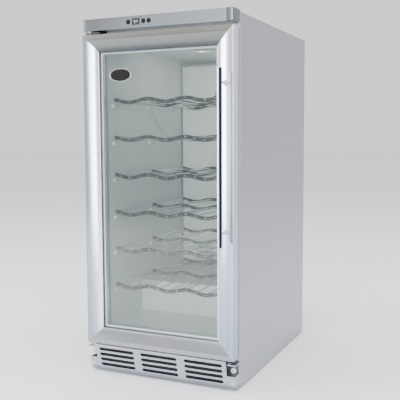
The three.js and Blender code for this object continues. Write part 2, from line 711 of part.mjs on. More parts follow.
function evaporatorCover() {
  const half = CHAMBER_HALF - DUCT_SIDE_GAP;
  const back = CHAMBER_BACK - GAP;
  const outer = box([-half, DUCT_FRONT, DUCT_BOTTOM], [half, back, DUCT_TOP]);
  const inner = box(
    [-half + DUCT_T, DUCT_FRONT + DUCT_T, DUCT_BOTTOM + DUCT_T],
    [half - DUCT_T, back + 1, DUCT_TOP - DUCT_T],
  );
  const through = ["y", DUCT_FRONT - 1, DUCT_FRONT + DUCT_T + 3];
  const outlet = prism(circle(0, CHAMBER_FAN_Z, CHAMBER_FAN.blade + FAN_CLEAR, 24), ...through);
  const inlets = [0, 1, 2].map((row) =>
    prism(slot(0, DUCT_BOTTOM + 26 + row * 16, half * 1.35, 8), ...through),
  );
  return cut(outer.subtract(inner), [outlet, ...inlets]);
}

// A comb-shaped block of fins standing on a tube plate.
function finBlock(low, high, fins) {
  const [x0, y0, z0] = low;
  const [x1, y1, z1] = high;
  const pitch = (x1 - x0 - 1) / (fins - 1);
  const plate = box([x0, y1 - 6, z0], [x1, y1, z1]);
  const blades = Array.from({ length: fins }, (_, i) =>
    box([x0 + i * pitch, y0, z0], [x0 + i * pitch + 1, y1 - 1, z1]),
  );
  return union([plate, ...blades]);
}

function fanFrame({ size, depth, blade, hub }) {
  const half = size / 2;
  const bore = circle(0, 0, blade + FAN_CLEAR, 24);
  const body = prism(rectangle(-half, -half, half, half), "y", 0, depth, [bore]);
  const motor = rod([0, depth - 10, 0], "y", 10, hub, 12);
  const strut = box([-half + 1, depth - 4, -2], [half - 1, depth - 1, 2]);
  return union([body, motor, strut, strut.rotate([0, 90, 0])]);
}

function fanBlades({ depth, blade, hub }) {
  const core = rod([0, 3, 0], "y", depth - 10 - 3 - 0.5, hub, 12);
  const one = box([hub - 2, -1, -7], [blade, 1, 7]).rotate([35, 0, 0]).translate([0, 9, 0]);
  const turns = Array.from({ length: 5 }, (_, i) => one.rotate([0, i * 72, 0]));
  return union([core, ...turns]);
}

// ---- Machine space ----
function compressor() {
  const seam = COMPRESSOR_R - 2;
  const profile = [
    [0, 0], [45, 0], [60, 12], [seam, 30], [seam, 52], [COMPRESSOR_R, 52], [COMPRESSOR_R, 56],
    [seam, 56], [64, 84], [52, 106], [30, 118], [0, 121],
  ];
  const [x, y] = COMPRESSOR_AT;
  const can = turned(profile, [x, y, MACHINE_FLOOR + 5], 20);
  const plate = box([x - 70, y - 60, MACHINE_FLOOR], [x + 70, y + 60, MACHINE_FLOOR + 7]);
  return can.add(plate);
}

function startRelayCover() {
  const right = COMPRESSOR_AT[0] - COMPRESSOR_R - GAP;
  const y = COMPRESSOR_AT[1];
  return box([right - 24, y - 22, MACHINE_FLOOR + 30], [right, y + 20, MACHINE_FLOOR + 82]);
}

function filterDrier() {
  const profile = [[0, 0], [4, 0], [10, 10], [10, 80], [4, 92], [0, 92]];
  return turned(profile, [-30, DEPTH - 60, MACHINE_FLOOR], 12);
}

function dripTray() {
  const [x, y] = COMPRESSOR_AT;
  const low = [x - 75, y - 70, DECK_HIGH - 24];
  const high = [x + 75, y + 70, DECK_HIGH - GAP - 3];
  const inner = box([low[0] + 2, low[1] + 2, low[2] + 2], [high[0] - 2, high[1] - 2, high[2] + 5]);
  return box(low, high).subtract(inner);
}

function powerInlet() {
  const { z, w, h, flangeW, flangeH, depth } = INLET;
  const x = INLET.side - HALF;
  const outer = REAR_COVER_Y + SHEET + GAP;
  const flange = box([x - flangeW / 2, outer, z - flangeH / 2], [x + flangeW / 2, DEPTH, z + flangeH / 2]);
  const body = box([x - w / 2, outer - depth, z - h / 2], [x + w / 2, outer + 0.5, z + h / 2]);
  const [recessW, recessH] = [w / 2 - 2, h / 2 - 2];
  const recess = box([x - recessW, outer - depth + 4, z - recessH], [x + recessW, DEPTH + 1, z + recessH]);
  const pins = [[-7, -1], [7, -1], [0, 3]].map(([dx, dz]) =>
    box([x + dx - 1, outer - depth + 3, z + dz - 2], [x + dx + 1, outer - 9, z + dz + 2]),
  );
  return union([flange.add(body).subtract(recess), ...pins]);
}

// ---- Assembly ----
place("side_panel_left", sidePanel(-1), steel());
place("side_panel_right", sidePanel(1), steel());
place("top_panel", topPanel(), steel());
place("back_panel", backPanel(), zinc());
place("service_cover", serviceCover(), zinc());
place("base_pan", basePan(), zinc());
place("machine_deck", machineDeck(), zinc());
place("insulation_foam", insulationFoam(), finish(0xe8d9a8, 0.9, 0));
place("inner_liner", innerLiner(), linerWhite());
place("control_fascia", controlFascia(), steel());
place("fascia_end_cap_left", endCap(-1), steel());
place("fascia_end_cap_right", endCap(1), steel());
place("display_window", displayWindow(), black());
place("status_lamp", statusLamp(), black());
place("control_board", controlBoard(), finish(0x2f6b3c, 0.6, 0));
["power_button", "warmer_button", "cooler_button"].forEach((name, i) =>
  place(name, pushButton(BUTTON_X[i]), black()),
);
place("kick_plate", kickPlate(), steel());
place("hinge_bracket_lower_left", lowerBracket(-1), zinc());
place("hinge_bracket_lower_right", lowerBracket(1), zinc());
place("hinge_bracket_upper", upperBracket(), zinc());
place("hinge_pin_lower", lowerPin(), chrome());
place("hinge_pin_upper", upperPin(), chrome());
place("door_rail_top", doorRail(true), aluminium());
place("door_rail_bottom", doorRail(false), aluminium());
place("door_stile_left", doorStile(-1), aluminium());
place("door_stile_right", doorStile(1), aluminium());
place("glass_outer", pane(GLASS_FRONT), finish(0xdfe8e6, 0.05, 0));
place("glass_inner", pane(INNER_PANE), finish(0xdfe8e6, 0.05, 0));
place("glass_spacer", glassSpacer(), aluminium());
place("door_gasket", doorGasket(), rubber());
place("handle_bar", handleBar(), chrome());
place("handle_standoff_lower", handleStandoff(standoffHeights()[0]), chrome());
place("handle_standoff_upper", handleStandoff(standoffHeights()[1]), chrome());
place("badge_plate", badgePlate(), black());
for (let i = 0; i < SHELF_COUNT; i++) place(`shelf_${i + 1}`, shelf(i), chrome());
place("lamp_housing", lampHousing(), linerWhite());
place("lamp_lens", lampLens(), cream());
place("evaporator_cover", evaporatorCover(), linerWhite());
const coilHalf = CHAMBER_HALF - 32;
const coilTop = CHAMBER_FAN_Z - CHAMBER_FAN.size;
const coilLow = [-coilHalf, DUCT_FRONT + 14, DUCT_BOTTOM + 86];
place("evaporator", finBlock(coilLow, [coilHalf, CHAMBER_BACK - 2 * GAP, coilTop], 17), aluminium());
const chamberFanAt = [0, DUCT_FRONT + DUCT_T + GAP, CHAMBER_FAN_Z];
place("evaporator_fan_frame", fanFrame(CHAMBER_FAN).translate(chamberFanAt), black());
place("evaporator_fan_blades", fanBlades(CHAMBER_FAN).translate(chamberFanAt), black());
const condenserX = 45 - HALF;
const condenserBack = DECK_RISER + 64;
const condenserLow = [condenserX, condenserBack - 55, MACHINE_FLOOR];
const condenserHigh = [condenserX + 120, condenserBack, MACHINE_FLOOR + 130];
place("condenser", finBlock(condenserLow, condenserHigh, 13), aluminium());
const baseFanAt = [condenserX + 60, condenserBack + GAP, BASE_FAN_Z];
place("condenser_fan_frame", fanFrame(BASE_FAN).translate(baseFanAt), black());
place("condenser_fan_blades", fanBlades(BASE_FAN).translate(baseFanAt), black());
place("compressor", compressor(), black());
place("start_relay_cover", startRelayCover(), black());
place("filter_drier", filterDrier(), finish(0xb8733a, 0.35, 0.9));
place("drip_tray", dripTray(), black());
place("power_inlet", powerInlet(), black());
["foot_front_left", "foot_front_right", "foot_rear_left", "foot_rear_right"].forEach((name, i) =>
  place(name, foot(footPlaces()[i]), rubber()),
);

export default cooler;
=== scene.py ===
"""Under-counter wine cooler: the finished looks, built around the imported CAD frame.

Every length is in metres and in the frame's own axes: +Z up, +X to the right seen from the front,
+Y to the back.
"""

import functools
import logging
import math
from dataclasses import dataclass, field
from enum import Enum
from typing import Callable, Iterable, Optional, Sequence

import bmesh
import bpy
from mathutils import Matrix, Vector


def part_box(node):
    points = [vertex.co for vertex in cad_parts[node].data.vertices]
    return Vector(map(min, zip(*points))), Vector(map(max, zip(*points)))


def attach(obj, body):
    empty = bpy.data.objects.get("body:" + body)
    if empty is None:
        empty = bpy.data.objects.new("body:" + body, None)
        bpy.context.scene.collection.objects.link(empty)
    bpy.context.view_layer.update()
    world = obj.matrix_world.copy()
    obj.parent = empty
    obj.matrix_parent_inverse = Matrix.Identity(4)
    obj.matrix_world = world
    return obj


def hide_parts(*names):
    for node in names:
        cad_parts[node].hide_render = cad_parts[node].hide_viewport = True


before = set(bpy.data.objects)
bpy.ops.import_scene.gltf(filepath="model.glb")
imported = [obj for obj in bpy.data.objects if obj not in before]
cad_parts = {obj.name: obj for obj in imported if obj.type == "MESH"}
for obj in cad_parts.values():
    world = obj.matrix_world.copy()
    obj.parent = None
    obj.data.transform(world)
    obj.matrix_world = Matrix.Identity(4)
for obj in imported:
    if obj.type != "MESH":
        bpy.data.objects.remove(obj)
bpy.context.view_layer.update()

log = logging.getLogger("wine_cooler")
MM = 0.001
FULL_TURN = 2 * math.pi
SMOOTH_BELOW = math.radians(32)
Point2 = tuple[float, float]
Colour = tuple[float, float, float]


# --------------------------------------------------------------------------------------
# Shader maths
# --------------------------------------------------------------------------------------
class Sock:
    """A shader socket that takes part in Python arithmetic; each operator adds a Math node."""

    def __init__(self, shader: "Nodes", socket: bpy.types.NodeSocket) -> None:
        """Wraps one output socket.

        Args:
            shader: The node tree that it belongs to.
            socket: The output socket to wrap.
        """
        self.shader = shader
        self.socket = socket

    def _math(self, operation: str, first: object, second: object = 0.0) -> "Sock":
        """Adds a Math node on two values.

        Args:
            operation: The node's operation.
            first: The first value, a number or a Sock.
            second: The second value, a number or a Sock.

        Returns:
            The node's output.
        """
        node = self.shader.node("ShaderNodeMath", {"operation": operation}, {0: first, 1: second})
        return Sock(self.shader, node.outputs[0])

    def __add__(self, other: object) -> "Sock":
        """Returns self + other."""
        return self._math("ADD", self, other)

    def __radd__(self, other: object) -> "Sock":
        """Returns other + self."""
        return self._math("ADD", other, self)

    def __sub__(self, other: object) -> "Sock":
        """Returns self - other."""
        return self._math("SUBTRACT", self, other)

    def __rsub__(self, other: object) -> "Sock":
        """Returns other - self."""
        return self._math("SUBTRACT", other, self)

    def __mul__(self, other: object) -> "Sock":
        """Returns self * other."""
        return self._math("MULTIPLY", self, other)

    def __rmul__(self, other: object) -> "Sock":
        """Returns other * self."""
        return self._math("MULTIPLY", other, self)

    def __pow__(self, other: object) -> "Sock":
        """Returns self to the power of other."""
        return self._math("POWER", self, other)

    def above(self, level: float) -> "Sock":
        """Returns 1 where self is over a level, else 0."""
        return self._math("GREATER_THAN", self, level)

    def clamped(self) -> "Sock":
        """Returns self held between 0 and 1."""
        node = self.shader.node("ShaderNodeClamp", {}, {0: self})
        return Sock(self.shader, node.outputs[0])


class Nodes:
    """A node tree that is added to node by node."""

    def __init__(self, tree: bpy.types.NodeTree) -> None:
        """Clears a tree to start on.

        Args:
            tree: The material's or surroundings' tree.
        """
        self.tree = tree
        tree.nodes.clear()

    def node(self, kind: str, settings: dict, inputs: dict) -> bpy.types.Node:
        """Adds a node of any kind.

        Args:
            kind: The node's type.
            settings: The node's own properties; "stops" sets a colour ramp's positions and colours.
            inputs: Socket name or number to a value, a Sock or a socket.

        Returns:
            The new node.
        """
        made = self.tree.nodes.new(kind)
        for key, value in settings.items():
            if key == "stops":
                ramp = made.color_ramp
                while len(ramp.elements) < len(value):
                    ramp.elements.new(0.5)
                for element, (place, colour) in zip(ramp.elements, value):
                    element.position = place
                    element.color = (*colour, 1.0)
            else:
                setattr(made, key, value)
        for key, value in inputs.items():
            self.feed(made.inputs[key], value)
        return made

    def feed(self, socket: bpy.types.NodeSocket, value: object) -> None:
        """Links a Sock or socket into an input, or sets the input's value.

        Args:
            socket: The input socket.
            value: A Sock, a socket, a number or a tuple.
        """
        if isinstance(value, Sock):
            value = value.socket
        if isinstance(value, bpy.types.NodeSocket):
            self.tree.links.new(value, socket)
        elif hasattr(value, "__len__") and socket.type == "RGBA" and len(value) == 3:
            socket.default_value = (*value, 1.0)
        else:
            socket.default_value = value

    def place(self, scale: Sequence[float]) -> bpy.types.NodeSocket:
        """Returns Object coordinates stretched by a scale along X, Y and Z.

        Args:
            scale: The scale along each axis.

        Returns:
            The mapping node's output.
        """
        where = self.node("ShaderNodeTexCoord", {}, {})
        mapping = self.node("ShaderNodeMapping", {}, {"Vector": where.outputs["Object"],
            "Scale": tuple(scale)})
        return mapping.outputs[0]

    def noise(self, scale: Sequence[float], detail: float = 2.0, distortion: float = 0.0) -> Sock:
        """Returns a noise value on stretched Object coordinates."""
        made = self.node(
            "ShaderNodeTexNoise",
            {},
            {"Vector": self.place(scale), "Scale": 1.0, "Detail": detail, "Distortion": distortion},
        )
        return Sock(self, made.outputs[0])

    def cells(self, scale: Sequence[float], feature: str = "F1", output: str = "Distance") -> Sock:
        """Returns a Voronoi pattern's value on stretched Object coordinates."""
        made = self.node("ShaderNodeTexVoronoi", {"feature": feature},
            {"Vector": self.place(scale), "Scale": 1.0})
        return Sock(self, made.outputs[output])

    def ramp(self, value: Sock, *stops: tuple[float, Colour]) -> bpy.types.NodeSocket:
        """Returns the colour of a ramp at a value."""
        return self.node("ShaderNodeValToRGB", {"stops": stops}, {0: value}).outputs[0]

    def blend(self, share: object, first: object, second: object, how: str = "MIX") -> bpy.types.NodeSocket:
        """Returns two colours mixed by a share.

        Args:
            share: The second colour's share, from 0 to 1.
            first: The first colour.
            second: The second colour.
            how: The Mix node's blend type.

        Returns:
            The mixed colour's socket.
        """
        settings = {"data_type": "RGBA", "blend_type": how}
        made = self.node("ShaderNodeMix", settings, {0: share, 6: first, 7: second})
        return made.outputs[2]

    def along(self, axis: int, start: float, end: float) -> Sock:
        """Returns how far a point lies between two places on an axis, from 0 to 1.

        Args:
            axis: The axis: 0 for X, 1 for Y, 2 for Z.
            start: Where the share is 0.
            end: Where the share is 1.

        Returns:
            The share, held between 0 and 1.
        """
        where = self.node("ShaderNodeTexCoord", {}, {})
        parts = self.node("ShaderNodeSeparateXYZ", {}, {0: where.outputs["Object"]})
        return ((Sock(self, parts.outputs[axis]) - start) * (1 / (end - start))).clamped()

    def bump(self, height: Sock, depth: float, strength: float = 1.0) -> bpy.types.NodeSocket:
        """Returns a normal raised by a height in metres times depth."""
        made = self.node("ShaderNodeBump", {}, {"Strength": strength, "Distance": depth, "Height": height})
        return made.outputs[0]


class Shader(Nodes):
    """One material's node tree, with a Principled shader on its output."""

    def __init__(self, name: str) -> None:
        """Makes the material.

        Args:
            name: The material's name.
        """
        self.material = bpy.data.materials.new(name)
        self.material.use_nodes = True
        super().__init__(self.material.node_tree)
        self.output = self.node("ShaderNodeOutputMaterial", {}, {})
        self.surface = self.node("ShaderNodeBsdfPrincipled", {}, {})
        self.tree.links.new(self.surface.outputs[0], self.output.inputs[0])

    def set(self, **values: object) -> None:
        """Sets or links inputs of the Principled shader, with spaces written as underscores."""
        for name, value in values.items():
            self.feed(self.surface.inputs[name.replace("_", " ")], value)


# --------------------------------------------------------------------------------------
# Finishes
# --------------------------------------------------------------------------------------
class Grain(Enum):
    """The way a brushed or drawn surface runs, as the pattern's scale along X, Y and Z."""

    UPRIGHT = (1500.0, 1500.0, 9.0)
    ACROSS = (9.0, 1500.0, 1500.0)
    DEEP = (1500.0, 9.0, 1500.0)
    NONE = (420.0, 420.0, 420.0)


@dataclass(frozen=True)
class Finish:
    """A surface finish that builds one material.

    Attributes:
        name: The material's name.
        slot: The record's material slot that it stands for; not used by this script.
        colour: The main colour, linear.
    """

    name: str
    slot: str
    colour: Colour

    def shade(self, shader: Shader) -> None:
        """Fills in the Principled shader's inputs."""
        raise NotImplementedError

    @functools.cache
    def material(self) -> bpy.types.Material:
        """Returns the finish's material, made once."""
        shader = Shader(self.name + "_finish")
        self.shade(shader)
        return shader.material

    def tone(self, factor: float) -> Colour:
        """Returns the main colour made lighter or darker by a factor."""
        return tuple(min(1.0, channel * factor) for channel in self.colour)


@dataclass(frozen=True)
class Metal(Finish):
    """Brushed, drawn or polished metal with fine streaks, cloudy gloss and faint handling marks."""

    grain: Grain = Grain.NONE
    roughness: float = 0.3
    streak: float = 0.1
    cloud: float = 0.08
    relief: float = 0.00002
    coat: float = 0.0

    def base(self, shader: Shader) -> object:
        """Returns the metal's colour before its streaks."""
        return self.colour

    def shade(self, shader: Shader) -> None:
        """Sets streaked colour and roughness with a shallow grain."""
        lines = shader.noise(self.grain.value, 3.0)
        fine = shader.noise([s * 2.7 for s in self.grain.value], 2.0)
        clouds = shader.noise((7.0, 7.0, 4.0), 3.0, 0.6)
        specks = shader.cells((260.0, 260.0, 260.0)).above(0.93)
        mix = (lines * 0.65 + fine * 0.35).clamped()
        low, high = 1 - 2 * self.streak, 1.0
        streaks = shader.ramp(mix, (0.25, (low, low, low)), (0.75, (high, high, high)))
        cloud = 1 - self.streak
        streaks = shader.blend((clouds * 0.4).clamped(), streaks, (cloud, cloud, cloud))
        tone = shader.blend(1.0, self.base(shader), streaks, "MULTIPLY")
        rough = self.roughness + (clouds - 0.5) * (2 * self.cloud) + (fine - 0.5) * (1.2 * self.cloud)
        rough = (rough + specks * 0.05).clamped()
        shader.set(Base_Color=tone, Metallic=1.0, Roughness=rough, Coat_Weight=self.coat,
            Coat_Roughness=0.08)
        shader.set(Normal=shader.bump(mix, self.relief))


@dataclass(frozen=True)
class GradedMetal(Metal):
    """Metal with light and shade painted into its colour, changing along one axis.

    Attributes:
        axis: The axis that the tone changes along: 0 for X, 1 for Y, 2 for Z.
        start: Where the change starts.
        end: Where it ends.
        stops: The painted colours on the way, standing for reflections, highlights and shade.
    """

    axis: int = 0
    start: float = 0.0
    end: float = 1.0
    stops: tuple[tuple[float, Colour], ...] = ()

    def base(self, shader: Shader) -> object:
        """Returns the painted light and shade at each place across the metal."""
        return shader.ramp(shader.along(self.axis, self.start, self.end), *self.stops)


@dataclass(frozen=True)
class Zinc(Finish):
    """Zinc-coated sheet with its crystal spangle, dulled by handling."""

    def shade(self, shader: Shader) -> None:
        """Sets faceted tone and roughness per spangle cell."""
        spangle = shader.cells((95.0, 95.0, 95.0), output="Color")
        facet = Sock(shader, shader.node("ShaderNodeRGBToBW", {}, {0: spangle}).outputs[0])
        clouds = shader.noise((5.0, 5.0, 5.0), 4.0)
        tone = shader.ramp(facet, (0.2, self.tone(0.8)), (0.8, self.tone(1.15)))
        tone = shader.blend((clouds * 0.5).clamped(), tone, self.tone(0.72))
        shader.set(Base_Color=tone, Metallic=0.85, Roughness=(0.36 + facet * 0.16 + clouds * 0.1).clamped())
        shader.set(Normal=shader.bump(facet * 0.4 + clouds, 0.00006))


@dataclass(frozen=True)
class Plastic(Finish):
    """Moulded plastic: soft orange peel, faint tone drift and a few dust specks."""

    roughness: float = 0.35
    texture: float = 900.0
    relief: float = 0.00003
    coat: float = 0.0
    drift: float = 0.06
    shine: float = 0.5

    def shade(self, shader: Shader) -> None:
        """Sets a slightly uneven tone, gloss and skin."""
        shader.set(Specular_IOR_Level=self.shine)
        skin = shader.noise([self.texture] * 3, 3.0)
        drift = shader.noise((6.0, 6.0, 6.0), 3.0, 0.4)
        dust = shader.cells((330.0, 330.0, 330.0)).above(0.94)
        tone = shader.ramp(drift, (0.3, self.tone(1 - self.drift)), (0.7, self.tone(1 + self.drift)))
        tone = shader.blend(dust * 0.12, tone, (0.6, 0.6, 0.6))
        rough = (self.roughness + (skin - 0.5) * 0.14 + (drift - 0.5) * 0.12 + dust * 0.1).clamped()
        shader.set(Base_Color=tone, Roughness=rough, Coat_Weight=self.coat, Coat_Roughness=0.05)
        shader.set(Normal=shader.bump(skin, self.relief))


@dataclass(frozen=True)
class Rubber(Finish):
    """Soft black seal or foot, with fine moulding lines and a grey bloom."""

    def shade(self, shader: Shader) -> None:
        """Sets a dull, slightly bloomed black."""
        grit = shader.noise((1400.0, 1400.0, 1400.0), 4.0)
        bloom = shader.noise((14.0, 14.0, 14.0), 4.0, 0.8)
        tone = shader.ramp(bloom, (0.35, self.tone(0.8)), (0.75, self.tone(1.7)))
        shader.set(Base_Color=tone, Roughness=(0.62 + grit * 0.2 + bloom * 0.08).clamped())
        shader.set(Normal=shader.bump(grit, 0.00008))


@dataclass(frozen=True)
class Glass(Finish):
    """Clear toughened glass: see-through face on, mirroring at a slant, with faint wipe marks."""

    shine: float = 1.0

    def shade(self, shader: Shader) -> None:
        """Mixes a tinted clear shader with a gloss by the angle of sight."""
        wipes = shader.noise((14.0, 14.0, 5.0), 4.0, 1.2)
        shader.set(Base_Color=shader.ramp(wipes, (0.3, self.tone(0.9)), (0.7, self.tone(1.0))))
        shader.set(Metallic=1.0, Roughness=(0.02 + wipes * 0.05).clamped())
        shader.set(Normal=shader.bump(wipes, 0.00002))
        clear = shader.node("ShaderNodeBsdfTransparent", {}, {"Color": self.colour})
        facing = shader.node("ShaderNodeFresnel", {}, {"IOR": 1.45})
        share = (Sock(shader, facing.outputs[0]) * self.shine + wipes * 0.012).clamped()
        mixed = shader.node("ShaderNodeMixShader", {}, {0: share, 1: clear.outputs[0],
            2: shader.surface.outputs[0]})
        shader.tree.links.new(mixed.outputs[0], shader.output.inputs[0])


@dataclass(frozen=True)
class Lamp(Finish):
    """A lit, ribbed plastic: a diffuser or a display segment."""

    strength: float = 3.0
    ribs: float = 500.0

    def shade(self, shader: Shader) -> None:
        """Sets a glowing surface with moulded ribs."""
        ribs = shader.noise((self.ribs, 8.0, 8.0), 1.0)
        glow = shader.ramp(ribs, (0.3, self.tone(0.82)), (0.7, self.tone(1.0)))
        shader.set(Base_Color=self.tone(0.7), Roughness=(0.3 + ribs * 0.2).clamped())
        shader.set(Emission_Color=glow, Emission_Strength=self.strength, Normal=shader.bump(ribs, 0.0002))


@dataclass(frozen=True)
class Foam(Finish):
    """Rigid poured foam with open pores on its cut skin."""

    def shade(self, shader: Shader) -> None:
        """Sets an uneven foam colour, with painted shade darkening each pore."""
        pores = shader.cells((420.0, 420.0, 420.0))
        swirl = shader.noise((18.0, 18.0, 18.0), 5.0, 1.0)
        tone = shader.ramp(swirl, (0.3, self.tone(0.8)), (0.7, self.tone(1.05)))
        # Each pore is darkened towards its middle: painted shade.
        shader.set(Base_Color=shader.blend((1 - pores).clamped() * 0.5, tone, self.tone(0.6)))
        shader.set(Roughness=(0.8 + pores * 0.15).clamped(), Normal=shader.bump(pores, 0.0006))


@dataclass(frozen=True)
class Circuit(Finish):
    """A lacquered circuit board with copper tracks under the lacquer."""

    def shade(self, shader: Shader) -> None:
        """Sets board green with lighter tracks."""
        bricks = shader.node(
            "ShaderNodeTexBrick", {}, {"Vector": shader.place((900.0, 900.0, 900.0)), "Scale": 0.35}
        )
        tracks = Sock(shader, bricks.outputs[1])
        weave = shader.noise((2500.0, 2500.0, 2500.0), 2.0)
        shader.set(Base_Color=shader.blend(tracks, self.colour, self.tone(1.9)))
        shader.set(Roughness=(0.3 + weave * 0.2).clamped())
        shader.set(Normal=shader.bump(tracks * 0.5 + weave * 0.3, 0.00005))


SIDE_STEEL = Metal("side_steel", "brushed_steel", (0.44, 0.452, 0.505), Grain.UPRIGHT, 0.42, 0.06, 0.05)
TOP_STEEL = Metal("top_steel", "brushed_steel", (0.44, 0.452, 0.505), Grain.DEEP, 0.4, 0.06, 0.05)
# End caps: the fascia steel painted much darker, painted shade.
CAP_PAINTED_SHADE = Metal("end_cap_steel", "fascia_steel", (0.17, 0.18, 0.198), Grain.ACROSS, 0.24, 0.09, 0.06)
KICK_STEEL = Metal("kick_steel", "fascia_steel", (0.48, 0.5, 0.57), Grain.ACROSS, 0.38, 0.06, 0.06)
# Bottom rail: the frame aluminium toned mid grey, a painted reflection.
LOW_RAIL_PAINTED_REFLECTION = Metal("low_rail_aluminium", "frame_aluminium", (0.345, 0.36, 0.395), Grain.ACROSS, 0.24,
    0.05, 0.05)
UPPER_BRACKET_METAL = Metal("upper_bracket_steel", "bracket_steel", (0.075, 0.08, 0.088), Grain.ACROSS,
    0.4, 0.1, 0.1)
SPACER_METAL = Metal("spacer_aluminium", "spacer_aluminium", (0.8, 0.83, 0.87), Grain.NONE, 0.3, 0.05, 0.05)
CHROME = Metal("handle_chrome", "handle_chrome", (0.86, 0.88, 0.93), Grain.UPRIGHT, 0.1, 0.02, 0.03,
    0.000004)
PIN_METAL = Metal("pin_steel", "pin_steel", (0.5, 0.51, 0.54), Grain.NONE, 0.2, 0.06, 0.06)
BRACKET_METAL = Metal("bracket_steel", "bracket_steel", (0.4, 0.42, 0.46), Grain.ACROSS, 0.36, 0.1, 0.1)
WIRE_METAL = Metal("shelf_wire", "shelf_wire", (0.72, 0.75, 0.77), Grain.DEEP, 0.26, 0.1, 0.08)
# Shelf bands and front wire: the shelf wire's metal painted near black, painted shade on the shelves' front
# edges.
BAND_PAINTED_SHADE = Metal("shelf_band", "shelf_wire", (0.05, 0.06, 0.057), Grain.ACROSS, 0.34, 0.08, 0.06)
FIN_METAL = Metal("fin_aluminium", "fin_aluminium", (0.72, 0.74, 0.76), Grain.UPRIGHT, 0.35, 0.1, 0.1)
COPPER = Metal("copper_tube", "copper", (0.72, 0.36, 0.2), Grain.NONE, 0.3, 0.18, 0.12)
ZINC = Zinc("zinc_sheet", "zinc_steel", (0.52, 0.54, 0.56))
LINER = Plastic("liner_plastic", "liner_plastic", (0.62, 0.655, 0.655), 0.32, 500.0, 0.00003, 0.15, 0.03)
TRIM = Plastic("trim_plastic", "liner_plastic", (0.4, 0.435, 0.44), 0.4, 500.0, shine=0.3)
CREAM = Plastic("clip_plastic", "liner_plastic", (0.62, 0.61, 0.55), 0.4, shine=0.3)
BUTTON_FINISH = Plastic("button_dark", "button_dark", (0.008, 0.008, 0.011), 0.4, 900.0, 0.00002, shine=0.08)
WINDOW_FINISH = Plastic("display_black", "display_black", (0.015, 0.016, 0.02), 0.12, 500.0, 0.00001, 0.6)
STATUS_FINISH = Plastic("status_red", "lamp_red", (0.1, 0.012, 0.012), 0.2, 500.0, 0.00001, 0.6)
BADGE_FINISH = Plastic("badge_black", "badge_black", (0.012, 0.012, 0.011), 0.35, 700.0, 0.00001, shine=0.06)
FAN_PLASTIC = Plastic("fan_plastic", "fan_black", (0.03, 0.03, 0.034), 0.5, 1200.0, 0.00006)
TRAY_PLASTIC = Plastic("tray_plastic", "tray_black", (0.045, 0.045, 0.05), 0.5, 1200.0, 0.00006)
ENAMEL = Plastic("compressor_enamel", "compressor_black", (0.018, 0.018, 0.02), 0.28, 260.0, 0.00008, 0.5)
SEAL = Rubber("gasket_rubber", "gasket_rubber", (0.035, 0.037, 0.042))
# A near-black sheet for behind the kick plate's slots: painted shade for the dark inside of the base.
INTAKE_PAINTED_SHADE = Rubber("filter_fleece", "tray_black", (0.006, 0.006, 0.008))
FOOT_RUBBER = Rubber("foot_rubber", "foot_rubber", (0.03, 0.03, 0.03))
PANE = Glass("door_glass", "glass", (0.965, 0.982, 0.978), 0.5)
DIFFUSER = Lamp("lamp_diffuser", "lamp_lens", (0.62, 0.68, 0.62), 0.12)
DIGITS = Lamp("display_digits", "display_black", (0.6, 0.66, 0.66), 0.22, 3000.0)
BOARD = Circuit("control_board", "board_green", (0.03, 0.16, 0.06))
FOAM = Foam("rigid_foam", "foam", (0.78, 0.66, 0.36))


# --------------------------------------------------------------------------------------
# Shaping
# --------------------------------------------------------------------------------------
class Axis(Enum):
    """A direction that a rod, screw or turned shape points in."""

    RIGHT = Matrix.Rotation(math.pi / 2, 4, "Y")
    LEFT = Matrix.Rotation(-math.pi / 2, 4, "Y")
    BACK = Matrix.Rotation(-math.pi / 2, 4, "X")
    FRONT = Matrix.Rotation(math.pi / 2, 4, "X")
    UP = Matrix.Identity(4)
    DOWN = Matrix.Rotation(math.pi, 4, "X")


class Side(Enum):
    """The left or right side of the cooler, seen from the front."""

    LEFT = -1
    RIGHT = 1

    @property
    def word(self) -> str:
        """Returns the side's name as the frame writes it."""
        return self.name.lower()


@dataclass(frozen=True)
class Span:
    """The box around one or more CAD nodes."""

    lo: Vector
    hi: Vector

    @classmethod
    def of(cls, *nodes: str) -> "Span":
        """Returns the box around the named nodes."""
        boxes = [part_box(node) for node in nodes]
        lo = Vector([min(box[0][i] for box in boxes) for i in range(3)])
        hi = Vector([max(box[1][i] for box in boxes) for i in range(3)])
        return cls(lo, hi)

    @property
    def mid(self) -> Vector:
        """Returns the box's centre."""
        return (self.lo + self.hi) / 2

    @property
    def size(self) -> Vector:
        """Returns the box's size."""
        return self.hi - self.lo


def arc(centre: Point2, radius: float, start: float, end: float, steps: int = 6) -> list[Point2]:
    """Returns points along an arc.

    Args:
        centre: The arc's centre.
        radius: Its radius.
        start: The first angle in degrees.
        end: The last angle in degrees.
        steps: The number of chords.

    Returns:
        steps + 1 points.
    """
    turns = [math.radians(start + (end - start) * i / steps) for i in range(steps + 1)]
    return [(centre[0] + radius * math.cos(t), centre[1] + radius * math.sin(t)) for t in turns]


def slot_outline(centre: Point2, length: float, height: float, steps: int = 8) -> list[Point2]:
    """Returns the outline of a slot with round ends.

    Args:
        centre: The slot's centre.
        length: Its whole length along the first axis.
        height: Its height.
        steps: The number of chords round each end.

    Returns:
        The outline's points.
    """
    reach = (length - height) / 2
    right = arc((centre[0] + reach, centre[1]), height / 2, -90, 90, steps)
    left = arc((centre[0] - reach, centre[1]), height / 2, 90, 270, steps)
    return right + left


